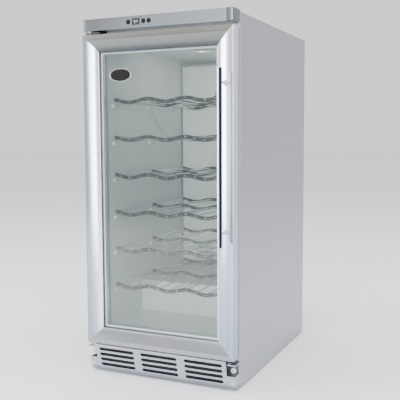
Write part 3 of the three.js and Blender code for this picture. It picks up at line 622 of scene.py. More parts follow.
class Form:
    """A mesh that is shaped with bmesh operators and then made a piece."""

    def __init__(self) -> None:
        """Starts with nothing."""
        self.mesh = bmesh.new()

    @classmethod
    def copy_of(cls, *nodes: str) -> "Form":
        """Returns a copy of CAD nodes with their loose triangles merged into whole faces."""
        form = cls()
        for node in nodes:
            form.mesh.from_mesh(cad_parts[node].data)
        bmesh.ops.remove_doubles(form.mesh, verts=form.mesh.verts[:], dist=0.004 * MM)
        bmesh.ops.dissolve_limit(
            form.mesh, angle_limit=math.radians(0.4), verts=form.mesh.verts[:], edges=form.mesh.edges[:]
        )
        return form

    def _added(self, make: Callable[[], object], matrix: Matrix = Matrix.Identity(4)) -> list:
        """Runs a maker, then places, closes and turns outwards what it added.

        Args:
            make: Adds geometry to the mesh.
            matrix: Where the new geometry goes.

        Returns:
            The new vertices.
        """
        before = set(self.mesh.verts)
        make()
        verts = [vert for vert in self.mesh.verts if vert not in before]
        bmesh.ops.remove_doubles(self.mesh, verts=verts, dist=0.002 * MM)
        verts = [vert for vert in verts if vert.is_valid]
        bmesh.ops.transform(self.mesh, matrix=matrix, verts=verts)
        faces = list({face for vert in verts for face in vert.link_faces})
        bmesh.ops.recalc_face_normals(self.mesh, faces=faces)
        return verts

    def block(self, lo: Sequence[float], hi: Sequence[float]) -> list:
        """Adds a box between two corners.

        Args:
            lo: The lowest corner.
            hi: The highest corner.

        Returns:
            The new vertices.
        """
        low, high = Vector(lo), Vector(hi)
        matrix = Matrix.Translation((low + high) / 2) @ Matrix.Diagonal((*(high - low), 1))
        return self._added(lambda: bmesh.ops.create_cube(self.mesh, size=1), matrix)

    def turned(self, profile: Sequence[Point2], at: Sequence[float], axis: Axis = Axis.UP,
               sides: int = 40) -> list:
        """Adds a profile turned about an axis.

        Args:
            profile: Points of radius and distance along the axis.
            at: Where the axis starts.
            axis: The way the axis points.
            sides: Steps in the full turn.

        Returns:
            The new vertices.
        """

        def make() -> None:
            """Spins the profile once round."""
            verts = [self.mesh.verts.new((radius, 0, along)) for radius, along in profile]
            edges = [self.mesh.edges.new(pair) for pair in zip(verts, verts[1:])]
            bmesh.ops.spin(
                self.mesh, geom=verts + edges, cent=(0, 0, 0), axis=(0, 0, 1), angle=FULL_TURN,
                steps=sides, use_merge=True,
            )

        return self._added(make, Matrix.Translation(at) @ axis.value)

    def rod(self, base: Sequence[float], axis: Axis, length: float, radius: float, sides: int = 24,
            ease: float = 0.0) -> list:
        """Adds a rod whose ends are eased by a small radius.

        Args:
            base: The centre of its first end.
            axis: The way it points.
            length: Its length.
            radius: Its radius.
            sides: Its number of sides.
            ease: The radius at the rim of each end.

        Returns:
            The new vertices.
        """
        if ease:
            low = arc((radius - ease, ease), ease, -90, 0, 3)
            high = arc((radius - ease, length - ease), ease, 0, 90, 3)
            profile = [(0, 0), *low, *high, (0, length)]
        else:
            profile = [(0, 0), (radius, 0), (radius, length), (0, length)]
        return self.turned(profile, base, axis, sides)

    def ring(self, at: Sequence[float], axis: Axis, radius: float, wire: float, sides: int = 48) -> list:
        """Adds a ring of round wire.

        Args:
            at: The ring's centre.
            axis: The way it faces.
            radius: The radius to the wire's middle.
            wire: The wire's radius.
            sides: Steps round the ring.

        Returns:
            The new vertices.
        """
        return self.turned(arc((radius, 0), wire, 0, 360, 8), at, axis, sides)

    def plate(self, outline: Sequence[Point2], axis: Axis, at: float, depth: float) -> list:
        """Adds an outline given in the plane across an axis and extruded along it.

        Args:
            outline: Points in X-Y for UP, X-Z for BACK and Y-Z for RIGHT.
            axis: The way it is extruded.
            at: The first face's place along that axis.
            depth: The thickness.

        Returns:
            The new vertices.
        """
        lay = {
            Axis.UP: lambda a, b: (a, b, at),
            Axis.BACK: lambda a, b: (a, at, b),
            Axis.RIGHT: lambda a, b: (at, a, b),
        }[axis]
        push = {Axis.UP: (0, 0, depth), Axis.BACK: (0, depth, 0), Axis.RIGHT: (depth, 0, 0)}[axis]

        def make() -> None:
            """Fills the outline and extrudes it."""
            face = self.mesh.faces.new([self.mesh.verts.new(lay(a, b)) for a, b in outline])
            pushed = bmesh.ops.extrude_face_region(self.mesh, geom=[face], use_keep_orig=True)
            verts = [part for part in pushed["geom"] if isinstance(part, bmesh.types.BMVert)]
            bmesh.ops.translate(self.mesh, verts=verts, vec=push)

        return self._added(make)

    def mitred(self, section: Sequence[Point2], half: float, low: float, high: float, front: float,
               gap: float = 0.0, lengths: Optional[Iterable[str]] = None) -> None:
        """Adds lengths of a section cut at 45 degrees, as round a door's edge.

        Args:
            section: Points of inset from the outer edge and distance behind the front.
            half: Half of the outer width.
            low: The outer bottom edge.
            high: The outer top edge.
            front: The front face's place along Y.
            gap: The air left at each mitre.
            lengths: Which of bottom, top, left and right to add, or all of them.
        """
        tall, middle = (high - low) / 2, (high + low) / 2
        places = {
            "bottom": (half, Matrix.Translation((0, front, low))),
            "top": (half, Matrix.Translation((0, front, high)) @ Matrix.Rotation(math.pi, 4, "Y")),
            "left": (
                tall, Matrix.Translation((-half, front, middle)) @ Matrix.Rotation(math.pi / 2, 4, "Y"),
            ),
            "right": (
                tall, Matrix.Translation((half, front, middle)) @ Matrix.Rotation(-math.pi / 2, 4, "Y"),
            ),
        }
        for name in lengths or places:
            reach, matrix = places[name]
            piece = Form()
            piece.plate([(y, inset) for inset, y in section], Axis.RIGHT, -reach, 2 * reach)
            for end in (-1, 1):
                piece.cut((end * (reach - gap), 0, 0), (end, 0, 1))
            bmesh.ops.transform(piece.mesh, matrix=matrix, verts=piece.mesh.verts[:])
            self.join(piece)

    def cut(self, point: Sequence[float], normal: Sequence[float]) -> None:
        """Cuts away what lies in front of a plane and closes the cut.

        Args:
            point: A point on the plane.
            normal: The way the plane faces.
        """
        geometry = self.mesh.verts[:] + self.mesh.edges[:] + self.mesh.faces[:]
        bmesh.ops.bisect_plane(
            self.mesh, geom=geometry, plane_co=point, plane_no=normal, clear_outer=True, dist=0.0001 * MM
        )
        rim = [edge for edge in self.mesh.edges if edge.is_boundary]
        bmesh.ops.holes_fill(self.mesh, edges=rim, sides=0)
        bmesh.ops.recalc_face_normals(self.mesh, faces=self.mesh.faces[:])

    def bore(self, foot: Sequence[float], radius: float, depth: float) -> None:
        """Drills an upright round hole.

        Args:
            foot: The centre of its lower end.
            radius: Its radius.
            depth: Its length.
        """
        drill = Form()
        drill.rod(foot, Axis.UP, depth, radius, 32)
        bodies = []
        for form in (self, drill):
            data = bpy.data.meshes.new("spare")
            bmesh.ops.recalc_face_normals(form.mesh, faces=form.mesh.faces[:])
            form.mesh.to_mesh(data)
            bodies.append(bpy.data.objects.new("spare", data))
            bpy.context.scene.collection.objects.link(bodies[-1])
        step = bodies[0].modifiers.new("bore", "BOOLEAN")
        step.operation, step.solver, step.object = "DIFFERENCE", "EXACT", bodies[1]
        graph = bpy.context.evaluated_depsgraph_get()
        bored = bpy.data.meshes.new_from_object(bodies[0].evaluated_get(graph))
        self.mesh.clear()
        self.mesh.from_mesh(bored)
        drill.mesh.free()
        for body in bodies:
            bpy.data.objects.remove(body)

    def join(self, other: "Form", matrix: Matrix = Matrix.Identity(4)) -> None:
        """Adds a copy of another form, placed by a matrix.

        Args:
            other: The form to copy.
            matrix: Where the copy goes.
        """
        spare = bpy.data.meshes.new("spare")
        other.mesh.to_mesh(spare)
        spare.transform(matrix)
        self.mesh.from_mesh(spare)
        bpy.data.meshes.remove(spare)

    def bevel(self, width: float, segments: int = 3, verts: Optional[Iterable] = None,
              choose: Callable[[object], bool] = lambda edge: True) -> "Form":
        """Rounds sharp edges.

        Args:
            width: The bevel's width.
            segments: Steps across the bevel.
            verts: Only edges between these vertices, or all.
            choose: Says whether an edge is rounded.

        Returns:
            The form itself.
        """
        among = set(verts) if verts is not None else None
        edges = [
            edge for edge in self.mesh.edges
            if len(edge.link_faces) == 2 and edge.calc_face_angle(0) > SMOOTH_BELOW and choose(edge)
            and (among is None or (edge.verts[0] in among and edge.verts[1] in among))
        ]
        bmesh.ops.bevel(
            self.mesh, geom=edges, offset=width, offset_type="OFFSET", segments=segments, profile=0.5,
            affect="EDGES", clamp_overlap=True, material=-1,
        )
        return self

    def screw(self, at: Sequence[float], axis: Axis, radius: float = 3.6 * MM,
              height: float = 1.9 * MM) -> None:
        """Adds a pan-head screw with a cross recess.

        Args:
            at: Where the head's underside sits.
            axis: The way the head faces.
            radius: The head's radius.
            height: The head's height.
        """
        arm, web, sides = radius * 0.5, radius * 0.13, 20

        def make() -> None:
            """Turns the head's side, bridges it to a cross and sinks the cross."""
            before = set(self.mesh.edges)
            shoulder = [
                (radius * (0.7 + 0.3 * x), height * (0.5 + 0.5 * y)) for x, y in arc((0, 0), 1.0, 0, 90, 4)
            ]
            head = [(radius, 0.0), *shoulder]
            verts = [self.mesh.verts.new((r, 0, h)) for r, h in head]
            edges = [self.mesh.edges.new(pair) for pair in zip(verts, verts[1:])]
            bmesh.ops.spin(
                self.mesh, geom=verts + edges, cent=(0, 0, 0), axis=(0, 0, 1), angle=FULL_TURN, steps=sides,
                use_merge=True,
            )
            rim = [
                edge for edge in self.mesh.edges
                if edge not in before and edge.is_boundary and edge.verts[0].co.z > height * 0.9
            ]
            corner = [(arm, web), (web, web), (web, arm)]
            cross = [
                (x * math.cos(turn) - y * math.sin(turn), x * math.sin(turn) + y * math.cos(turn))
                for turn in (0, math.pi / 2, math.pi, 1.5 * math.pi) for x, y in corner
            ]
            loop = [self.mesh.verts.new((x, y, height)) for x, y in cross]
            inner = [self.mesh.edges.new(pair) for pair in zip(loop, loop[1:] + loop[:1])]
            bmesh.ops.bridge_loops(self.mesh, edges=rim + inner)
            sunk = bmesh.ops.extrude_edge_only(self.mesh, edges=inner)["geom"]
            floor = [part for part in sunk if isinstance(part, bmesh.types.BMVert)]
            bmesh.ops.translate(self.mesh, verts=floor, vec=(0, 0, -height * 0.55))
            bmesh.ops.contextual_create(
                self.mesh, geom=[part for part in sunk if isinstance(part, bmesh.types.BMEdge)
                                 and part.verts[0] in floor and part.verts[1] in floor]
            )

        self._added(make, Matrix.Translation(at) @ axis.value)

    def piece(self, name: str, finish: Finish, body: str, replaces: Sequence[str] = ()) -> bpy.types.Object:
        """Makes the form an object that rides on a body.

        Args:
            name: The piece's name.
            finish: Its finish.
            body: The body that it moves with.
            replaces: CAD nodes that it stands for.

        Returns:
            The new object.
        """
        for face in self.mesh.faces:
            face.smooth = True
        for edge in self.mesh.edges:
            edge.smooth = len(edge.link_faces) == 2 and edge.calc_face_angle(0) < SMOOTH_BELOW
        data = bpy.data.meshes.new(name)
        self.mesh.to_mesh(data)
        self.mesh.free()
        data.materials.append(finish.material())
        made = bpy.data.objects.new(name, data)
        bpy.context.scene.collection.objects.link(made)
        weighted = made.modifiers.new("even_shading", "WEIGHTED_NORMAL")
        weighted.keep_sharp = True
        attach(made, body)
        if replaces:
            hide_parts(*replaces)
        log.info("%s: %d faces on %s", name, len(data.polygons), body)
        return made


def tube(name: str, points: Sequence[Sequence[float]], radius: float, finish: Finish, body: str,
         sides: int = 4, replaces: Sequence[str] = ()) -> bpy.types.Object:
    """Makes a bent tube along a smooth curve.

    Args:
        name: The piece's name.
        points: What the curve passes.
        radius: The tube's radius.
        finish: Its finish.
        body: The body that it moves with.
        sides: The bevel resolution.
        replaces: CAD nodes that it stands for.

    Returns:
        The new object.
    """
    curve = bpy.data.curves.new(name, "CURVE")
    curve.dimensions = "3D"
    curve.bevel_depth, curve.bevel_resolution, curve.use_fill_caps = radius, sides, True
    spline = curve.splines.new("NURBS")
    spline.points.add(len(points) - 1)
    for knot, point in zip(spline.points, points):
        knot.co = (*point, 1)
    spline.order_u, spline.use_endpoint_u, spline.resolution_u = 3, True, 6
    lead = bpy.data.objects.new(name + "_path", curve)
    form = Form()
    spare = bpy.data.meshes.new_from_object(lead)
    form.mesh.from_mesh(spare)
    bmesh.ops.remove_doubles(form.mesh, verts=form.mesh.verts[:], dist=0.001 * MM)
    bmesh.ops.recalc_face_normals(form.mesh, faces=form.mesh.faces[:])
    bpy.data.objects.remove(lead)
    bpy.data.meshes.remove(spare)
    bpy.data.curves.remove(curve)
    return form.piece(name, finish, body, replaces)


def refine(node: str, finish: Finish, body: str, width: float = 0.25 * MM,
           segments: int = 2) -> bpy.types.Object:
    """Replaces a CAD node by a copy with eased edges.

    Args:
        node: The node.
        finish: The copy's finish.
        body: The body that it moves with.
        width: How much its edges are eased.
        segments: Steps across each edge.

    Returns:
        The new piece.
    """
    return Form.copy_of(node).bevel(width, segments).piece(node + "_piece", finish, body, [node])


def dress(finish: Finish, *nodes: str) -> None:
    """Gives CAD nodes that stay a finish.

    Args:
        finish: The finish.
        nodes: The nodes' names.
    """
    for node in nodes:
        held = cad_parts[node]
        if not held.material_slots:
            log.warning("%s has no material slot", node)
        for place in held.material_slots:
            place.material = finish.material()
        log.info("%s dressed in %s", node, finish.name)


# --------------------------------------------------------------------------------------
# Cabinet
# --------------------------------------------------------------------------------------
@dataclass
class CabinetShell:
    """The steel sheets round the cooler and their fasteners."""

    sheet_round: float = 0.25 * MM
    front_round: float = 2.6 * MM
    bead_height: float = 7 * MM
    bead_proud: float = 0.55 * MM
    bead_rows: int = 5
    screw_radius: float = 3.6 * MM
    screw_inset: float = 9 * MM
    screw_rise: float = 0.75 * MM
    hem: float = 14 * MM

    def build(self) -> None:
        """Makes the sides, top and rear."""
        for side in Side:
            self.side_sheet(side)
        top = Form.copy_of("top_panel")
        top.bevel(self.sheet_round, 2)
        top.piece("top_sheet", TOP_STEEL, "cabinet", ["top_panel"])
        self.back_sheet()
        self.service_cover()

    def side_sheet(self, side: Side) -> None:
        """Makes one side, with a fuller bend along its front edge.

        Args:
            side: Which side.
        """
        node = "side_panel_" + side.word
        box = Span.of(node)
        outer = box.lo.x if side is Side.LEFT else box.hi.x

        def at_front(edge: bmesh.types.BMEdge) -> bool:
            """Says whether an edge runs up the front corner."""
            near = all(abs(v.co.x - outer) < 0.1 * MM and v.co.y - box.lo.y < 0.1 * MM for v in edge.verts)
            return near and edge.calc_length() > box.size.z / 2

        form = Form.copy_of(node).bevel(self.front_round, 4, choose=at_front)
        form.bevel(self.sheet_round, 2)
        form.piece(f"side_sheet_{side.word}", SIDE_STEEL, "cabinet", [node])

    def back_sheet(self) -> None:
        """Makes the rear sheet with pressed stiffening beads."""
        box = Span.of("back_panel")
        form = Form.copy_of("back_panel").bevel(self.sheet_round, 2)
        length = box.size.x * 0.72
        for row in range(self.bead_rows):
            z = box.lo.z + box.size.z * (row + 0.75) / (self.bead_rows + 0.5)
            bead = form.plate(slot_outline((0, z), length, self.bead_height), Axis.BACK, box.hi.y - 0.1 * MM,
                              self.bead_proud + 0.1 * MM)
            form.bevel(self.bead_proud * 0.9, 3, bead)
        form.piece("back_sheet", ZINC, "cabinet", ["back_panel"])
        screws = Form()
        inset = self.screw_inset
        heights = [box.lo.z + inset + (box.size.z - 2 * inset) * i / 4 for i in range(5)]
        for z in heights:
            for x in (box.lo.x + inset + self.hem, box.hi.x - inset - self.hem):
                screws.screw((x, box.hi.y, z), Axis.BACK, self.screw_radius, self.screw_rise)
        screws.piece("back_screws", PIN_METAL, "cabinet")

    def service_cover(self) -> None:
        """Makes the cover behind the machine space and its screws."""
        box = Span.of("service_cover")
        refine("service_cover", ZINC, "cabinet", 0.2 * MM)
        screws = Form()
        side = self.screw_inset + self.hem
        for x in (box.lo.x + side, 10 * MM, box.hi.x - side):
            for z in (box.lo.z + self.screw_inset, box.hi.z - self.screw_inset):
                screws.screw((x, box.hi.y, z), Axis.BACK, self.screw_radius, self.screw_rise)
        screws.piece("service_screws", PIN_METAL, "cabinet")

    def dress(self) -> None:
        """Gives the hidden sheets and foam their finish."""
        dress(ZINC, "base_pan", "machine_deck")
        dress(FOAM, "insulation_foam")


@dataclass
class Segment:
    """One bar of a seven-segment digit."""

    across: float
    up: float
    upright: bool


@dataclass
class ControlStrip:
    """The fascia above the door, with its buttons, display and lamp."""

    edge_round: float = 0.5 * MM
    bezel: float = 0.35 * MM
    dish: float = 0.25 * MM
    digit_height: float = 6.4 * MM
    digit_width: float = 3.6 * MM
    stroke: float = 0.75 * MM
    shown: Sequence[str] = ("5", "4")
    segments: dict = field(default_factory=lambda: {
        "a": Segment(0, 1, False), "b": Segment(0.5, 0.5, True), "c": Segment(0.5, -0.5, True),
        "d": Segment(0, -1, False), "e": Segment(-0.5, -0.5, True), "f": Segment(-0.5, 0.5, True),
        "g": Segment(0, 0, False),
    })
    lit: dict = field(default_factory=lambda: {"5": "afgcd", "4": "fgbc"})

    @staticmethod
    def strip_finish() -> Finish:
        """Returns the strip's brushed steel with painted shade, darker towards the hinge side."""
        box = Span.of("control_fascia")
        # The stops are painted shade: dark on the left, lighter to the right.
        stops = ((0.0, (0.21, 0.216, 0.222)), (0.35, (0.36, 0.38, 0.42)), (1.0, (0.5, 0.53, 0.565)))
        return GradedMetal("fascia_steel", "fascia_steel", stops[1][1], Grain.ACROSS, 0.22, 0.09, 0.05,
            0.00002, 0.0,
                           0, box.lo.x, box.hi.x, stops)

    def build(self) -> None:
        """Makes the strip, caps, buttons and display."""
        refine("control_fascia", self.strip_finish(), "cabinet", self.edge_round, 3)
        for side in Side:
            refine("fascia_end_cap_" + side.word, CAP_PAINTED_SHADE, "cabinet", self.edge_round, 3)
        for node in ("power_button", "warmer_button", "cooler_button"):
            self.button(node)
        refine("display_window", WINDOW_FINISH, "cabinet", 0.35 * MM, 3)
        self.digits()
        self.status_lamp()

    def button(self, node: str) -> None:
        """Makes a push button with a dished cap and a dark ring round it.

        Args:
            node: The button's CAD node.
        """
        box = Span.of(node)
        radius = box.size.x / 2
        length = box.size.y
        ease = 0.6 * MM
        profile = [
            (0, -self.dish), (radius * 0.45, -self.dish * 0.7), (radius * 0.72, -self.dish * 0.1),
            *reversed(arc((radius - ease, -ease), ease, 0, 90, 4)),
            (radius, -length + 5 * MM), (radius / 2, -length + 5 * MM), (radius / 2, -length), (0, -length),
        ]
        cap = Form()
        cap.turned(profile, (box.mid.x, box.lo.y, box.mid.z), Axis.FRONT, 36)
        cap.piece(node + "_cap", BUTTON_FINISH, node, [node])
        face = Span.of("control_fascia").lo.y
        ring = Form()
        inner, outer = radius + 0.35 * MM, radius + 0.35 * MM + self.bezel * 1.6
        ring.turned(
            [(inner, -1.2 * MM), (inner, self.bezel),
             *reversed(arc((outer - self.bezel, 0), self.bezel, 0, 80, 4)),
             (outer, -0.1 * MM)],
            (box.mid.x, face, box.mid.z), Axis.FRONT, 36,
        )
        ring.piece(node + "_bezel", BUTTON_FINISH, "cabinet")

    def digits(self) -> None:
        """Makes the lit digits just in front of the window's face."""
        box = Span.of("display_window")
        face = box.lo.y - 0.06 * MM
        gap = 0.16 * MM
        glyphs = Form()
        start = box.mid.x - (len(self.shown) * 0.5 + 0.35) * self.digit_width * 1.35
        for place, digit in enumerate(self.shown):
            centre = start + (place + 0.5) * self.digit_width * 1.45
            for key in self.lit[digit]:
                bar = self.segments[key]
                long = self.digit_height / 2 if bar.upright else self.digit_width
                x = centre + bar.across * self.digit_width
                z = box.mid.z + bar.up * self.digit_height / 2
                reach, thin = long / 2 - gap, self.stroke / 2
                half_x, half_z = (thin, reach) if bar.upright else (reach, thin)
                glyphs.plate(self.lozenge(x, z, half_x, half_z), Axis.BACK, face, 0.16 * MM)
        glyphs.turned(
            arc((0.75 * MM, 0), 0.22 * MM, 0, 360, 6),
            (start + (len(self.shown) + 0.1) * self.digit_width * 1.45, face + 0.08 * MM,
             box.mid.z + self.digit_height * 0.42), Axis.BACK, 16,
        )
        glyphs.piece("display_digits", DIGITS, "cabinet")

    @staticmethod
    def lozenge(x: float, z: float, half_x: float, half_z: float) -> list[Point2]:
        """Returns a bar's outline with pointed ends, along its longer side."""
        tip = min(half_x, half_z)
        if half_x > half_z:
            return [(x - half_x, z), (x - half_x + tip, z - tip), (x + half_x - tip, z - tip),
                (x + half_x, z),
                    (x + half_x - tip, z + tip), (x - half_x + tip, z + tip)]
        return [(x, z - half_z), (x + tip, z - half_z + tip), (x + tip, z + half_z - tip), (x, z + half_z),
                (x - tip, z + half_z - tip), (x - tip, z - half_z + tip)]

    def status_lamp(self) -> None:
        """Makes the small domed lamp above the buttons."""
        box = Span.of("status_lamp")
        radius = box.size.x / 2
        dome = [(x, y * 0.5) for x, y in reversed(arc((0, 0), radius, 0, 90, 6))]
        lens = Form()
        lens.turned([*dome, (radius, -box.size.y + 0.8 * MM), (0, -box.size.y + 0.8 * MM)],
                    (box.mid.x, box.lo.y + 0.6 * MM, box.mid.z), Axis.FRONT, 20)
        lens.piece("status_lens", STATUS_FINISH, "cabinet", ["status_lamp"])

    def dress(self) -> None:
        """Finishes the circuit board behind the strip."""
        dress(BOARD, "control_board")


@dataclass
class KickPlate:
    """The slotted plate under the door, with its folded foot and corner fittings."""

    fold_height: float = 9 * MM
    fold_back: float = 0.3
    rake: float = 0.24
    pleats: int = 44
    pleat_depth: float = 3.5 * MM
    edge_round: float = 0.4 * MM
    button_radius: float = 6.2 * MM
    button_inset: float = 7 * MM
    button_height: float = 50 * MM
    screw_inset: float = 4.6 * MM
    screw_height: float = 20 * MM

    def build(self) -> None:
        """Makes the plate, corner buttons and screws."""
        box = Span.of("kick_plate")
        form = Form.copy_of("kick_plate")
        fold = box.lo.z + self.fold_height
        everything = form.mesh.verts[:] + form.mesh.edges[:] + form.mesh.faces[:]
        bmesh.ops.bisect_plane(form.mesh, geom=everything, plane_co=(0, 0, fold), plane_no=(0, 0, 1),
            dist=1e-7)
        front = box.lo.y + 24 * MM
        for vert in form.mesh.verts:
            if vert.co.z < fold - 0.01 * MM and vert.co.y < front:
                vert.co.y += (fold - vert.co.z) * self.fold_back
        form.bevel(self.edge_round, 2)
        # The folded foot is painted darker than the face: painted shade.
        low = (0.3, 0.33, 0.37)
        turn = self.fold_height / box.size.z
        finish = GradedMetal(
            "kick_plate_steel", "fascia_steel", KICK_STEEL.colour, Grain.ACROSS, 0.38, 0.06, 0.06,
            0.00002, 0.0,
            2, box.lo.z, box.hi.z, ((0.0, low), (turn * 0.9, low), (turn * 1.1, KICK_STEEL.colour)),
        )
        form.piece("kick_plate_piece", finish, "cabinet", ["kick_plate"])
        # The sheet behind the slots is painted shade.
        self.intake_screen(box)
        discs, screws = Form(), Form()
        for side in Side:
            bracket = Span.of("hinge_bracket_lower_" + side.word)
            x = side.value * (box.hi.x - self.button_inset)
            radius = self.button_radius
            ease = 1.2 * MM
            rise = bracket.lo.y + 14 * MM
            discs.turned(
                [(0, 0), (radius, 0), *arc((radius - ease, 3 * MM - ease), ease, 0, 90, 4), (0, 3 * MM)],
                (x, rise, self.button_height), Axis.FRONT, 32,
            )
            screws.screw((x, rise - 3 * MM, self.button_height), Axis.FRONT, 3.1 * MM, 1.4 * MM)
        discs.piece("corner_buttons", CREAM, "cabinet")
        lean = Matrix.Rotation(-math.atan(self.rake), 4, "X")
        for side in Side:
            x = side.value * (box.hi.x - self.screw_inset - 3 * MM)
            spot = Form()
            spot.screw((0, 0, 0), Axis.FRONT, 3.8 * MM, 1.4 * MM)
            y = box.lo.y + (box.hi.z - self.screw_height) * self.rake
            screws.join(spot, Matrix.Translation((x, y, self.screw_height)) @ lean)
        screws.piece("kick_screws", KICK_STEEL, "cabinet")


    def intake_screen(self, box: Span) -> None:
        """Makes a pleated near-black sheet just behind the slots, painted shade for the dark inside of the
        base.

        Args:
            box: The kick plate's box.
        """
        half, pleats = box.hi.x - 24 * MM, self.pleats
        step = 2 * half / pleats
        front = [(-half + i * step / 2, (i % 2) * self.pleat_depth) for i in range(2 * pleats + 1)]
        back = [(x, y + 0.8 * MM) for x, y in reversed(front)]
        low = box.lo.z + 5 * MM
        high = box.hi.z - 4 * MM
        form = Form()
        form.plate(front + back, Axis.UP, low, high - low)
        for vert in form.mesh.verts:
            vert.co.y += box.lo.y + 3.2 * MM + (box.hi.z - vert.co.z) * self.rake
        form.piece("intake_filter", INTAKE_PAINTED_SHADE, "cabinet")


@dataclass
class Hinges:
    """Hinge brackets, their pins and the nylon bushes that the door turns on."""

    bush_radius: float = 5.6 * MM
    bush_bore: float = 3.75 * MM
    air: float = 0.15 * MM

    def build(self) -> None:
        """Makes the brackets, pins and bushes."""
        for side in Side:
            refine("hinge_bracket_lower_" + side.word, BRACKET_METAL, "cabinet", 0.3 * MM, 3)
        refine("hinge_bracket_upper", UPPER_BRACKET_METAL, "cabinet", 0.3 * MM, 3)
        for node in ("hinge_pin_lower", "hinge_pin_upper"):
            refine(node, PIN_METAL, "cabinet", 0.35 * MM, 2)
        door = Span.of("door_rail_top", "door_rail_bottom")
        self.bush("hinge_bush_lower", Span.of("hinge_pin_lower"),
            Span.of("hinge_bracket_lower_left").hi.z, door.lo.z)
        self.bush("hinge_bush_upper", Span.of("hinge_pin_upper"), door.hi.z,
            Span.of("hinge_bracket_upper").lo.z)

    def bush(self, name: str, pin: Span, low: float, high: float) -> None:
        """Makes one bush round a pin, between the door and a bracket.

        Args:
            name: The piece's name.
            pin: The pin's box.
            low: The face below it.
            high: The face above it.
        """
        start, end = self.air, high - low - self.air
        outer, bore, ease = self.bush_radius, self.bush_bore, 0.4 * MM
        profile = [
            (bore, start), *arc((outer - ease, start + ease), ease, -90, 0, 3),
            *arc((outer - ease, end - ease), ease, 0, 90, 3), (bore, end), (bore, start),
        ]
        form = Form()
        form.turned(profile, (pin.mid.x, pin.mid.y, low), Axis.UP, 32)
        form.piece(name, CREAM, "cabinet")


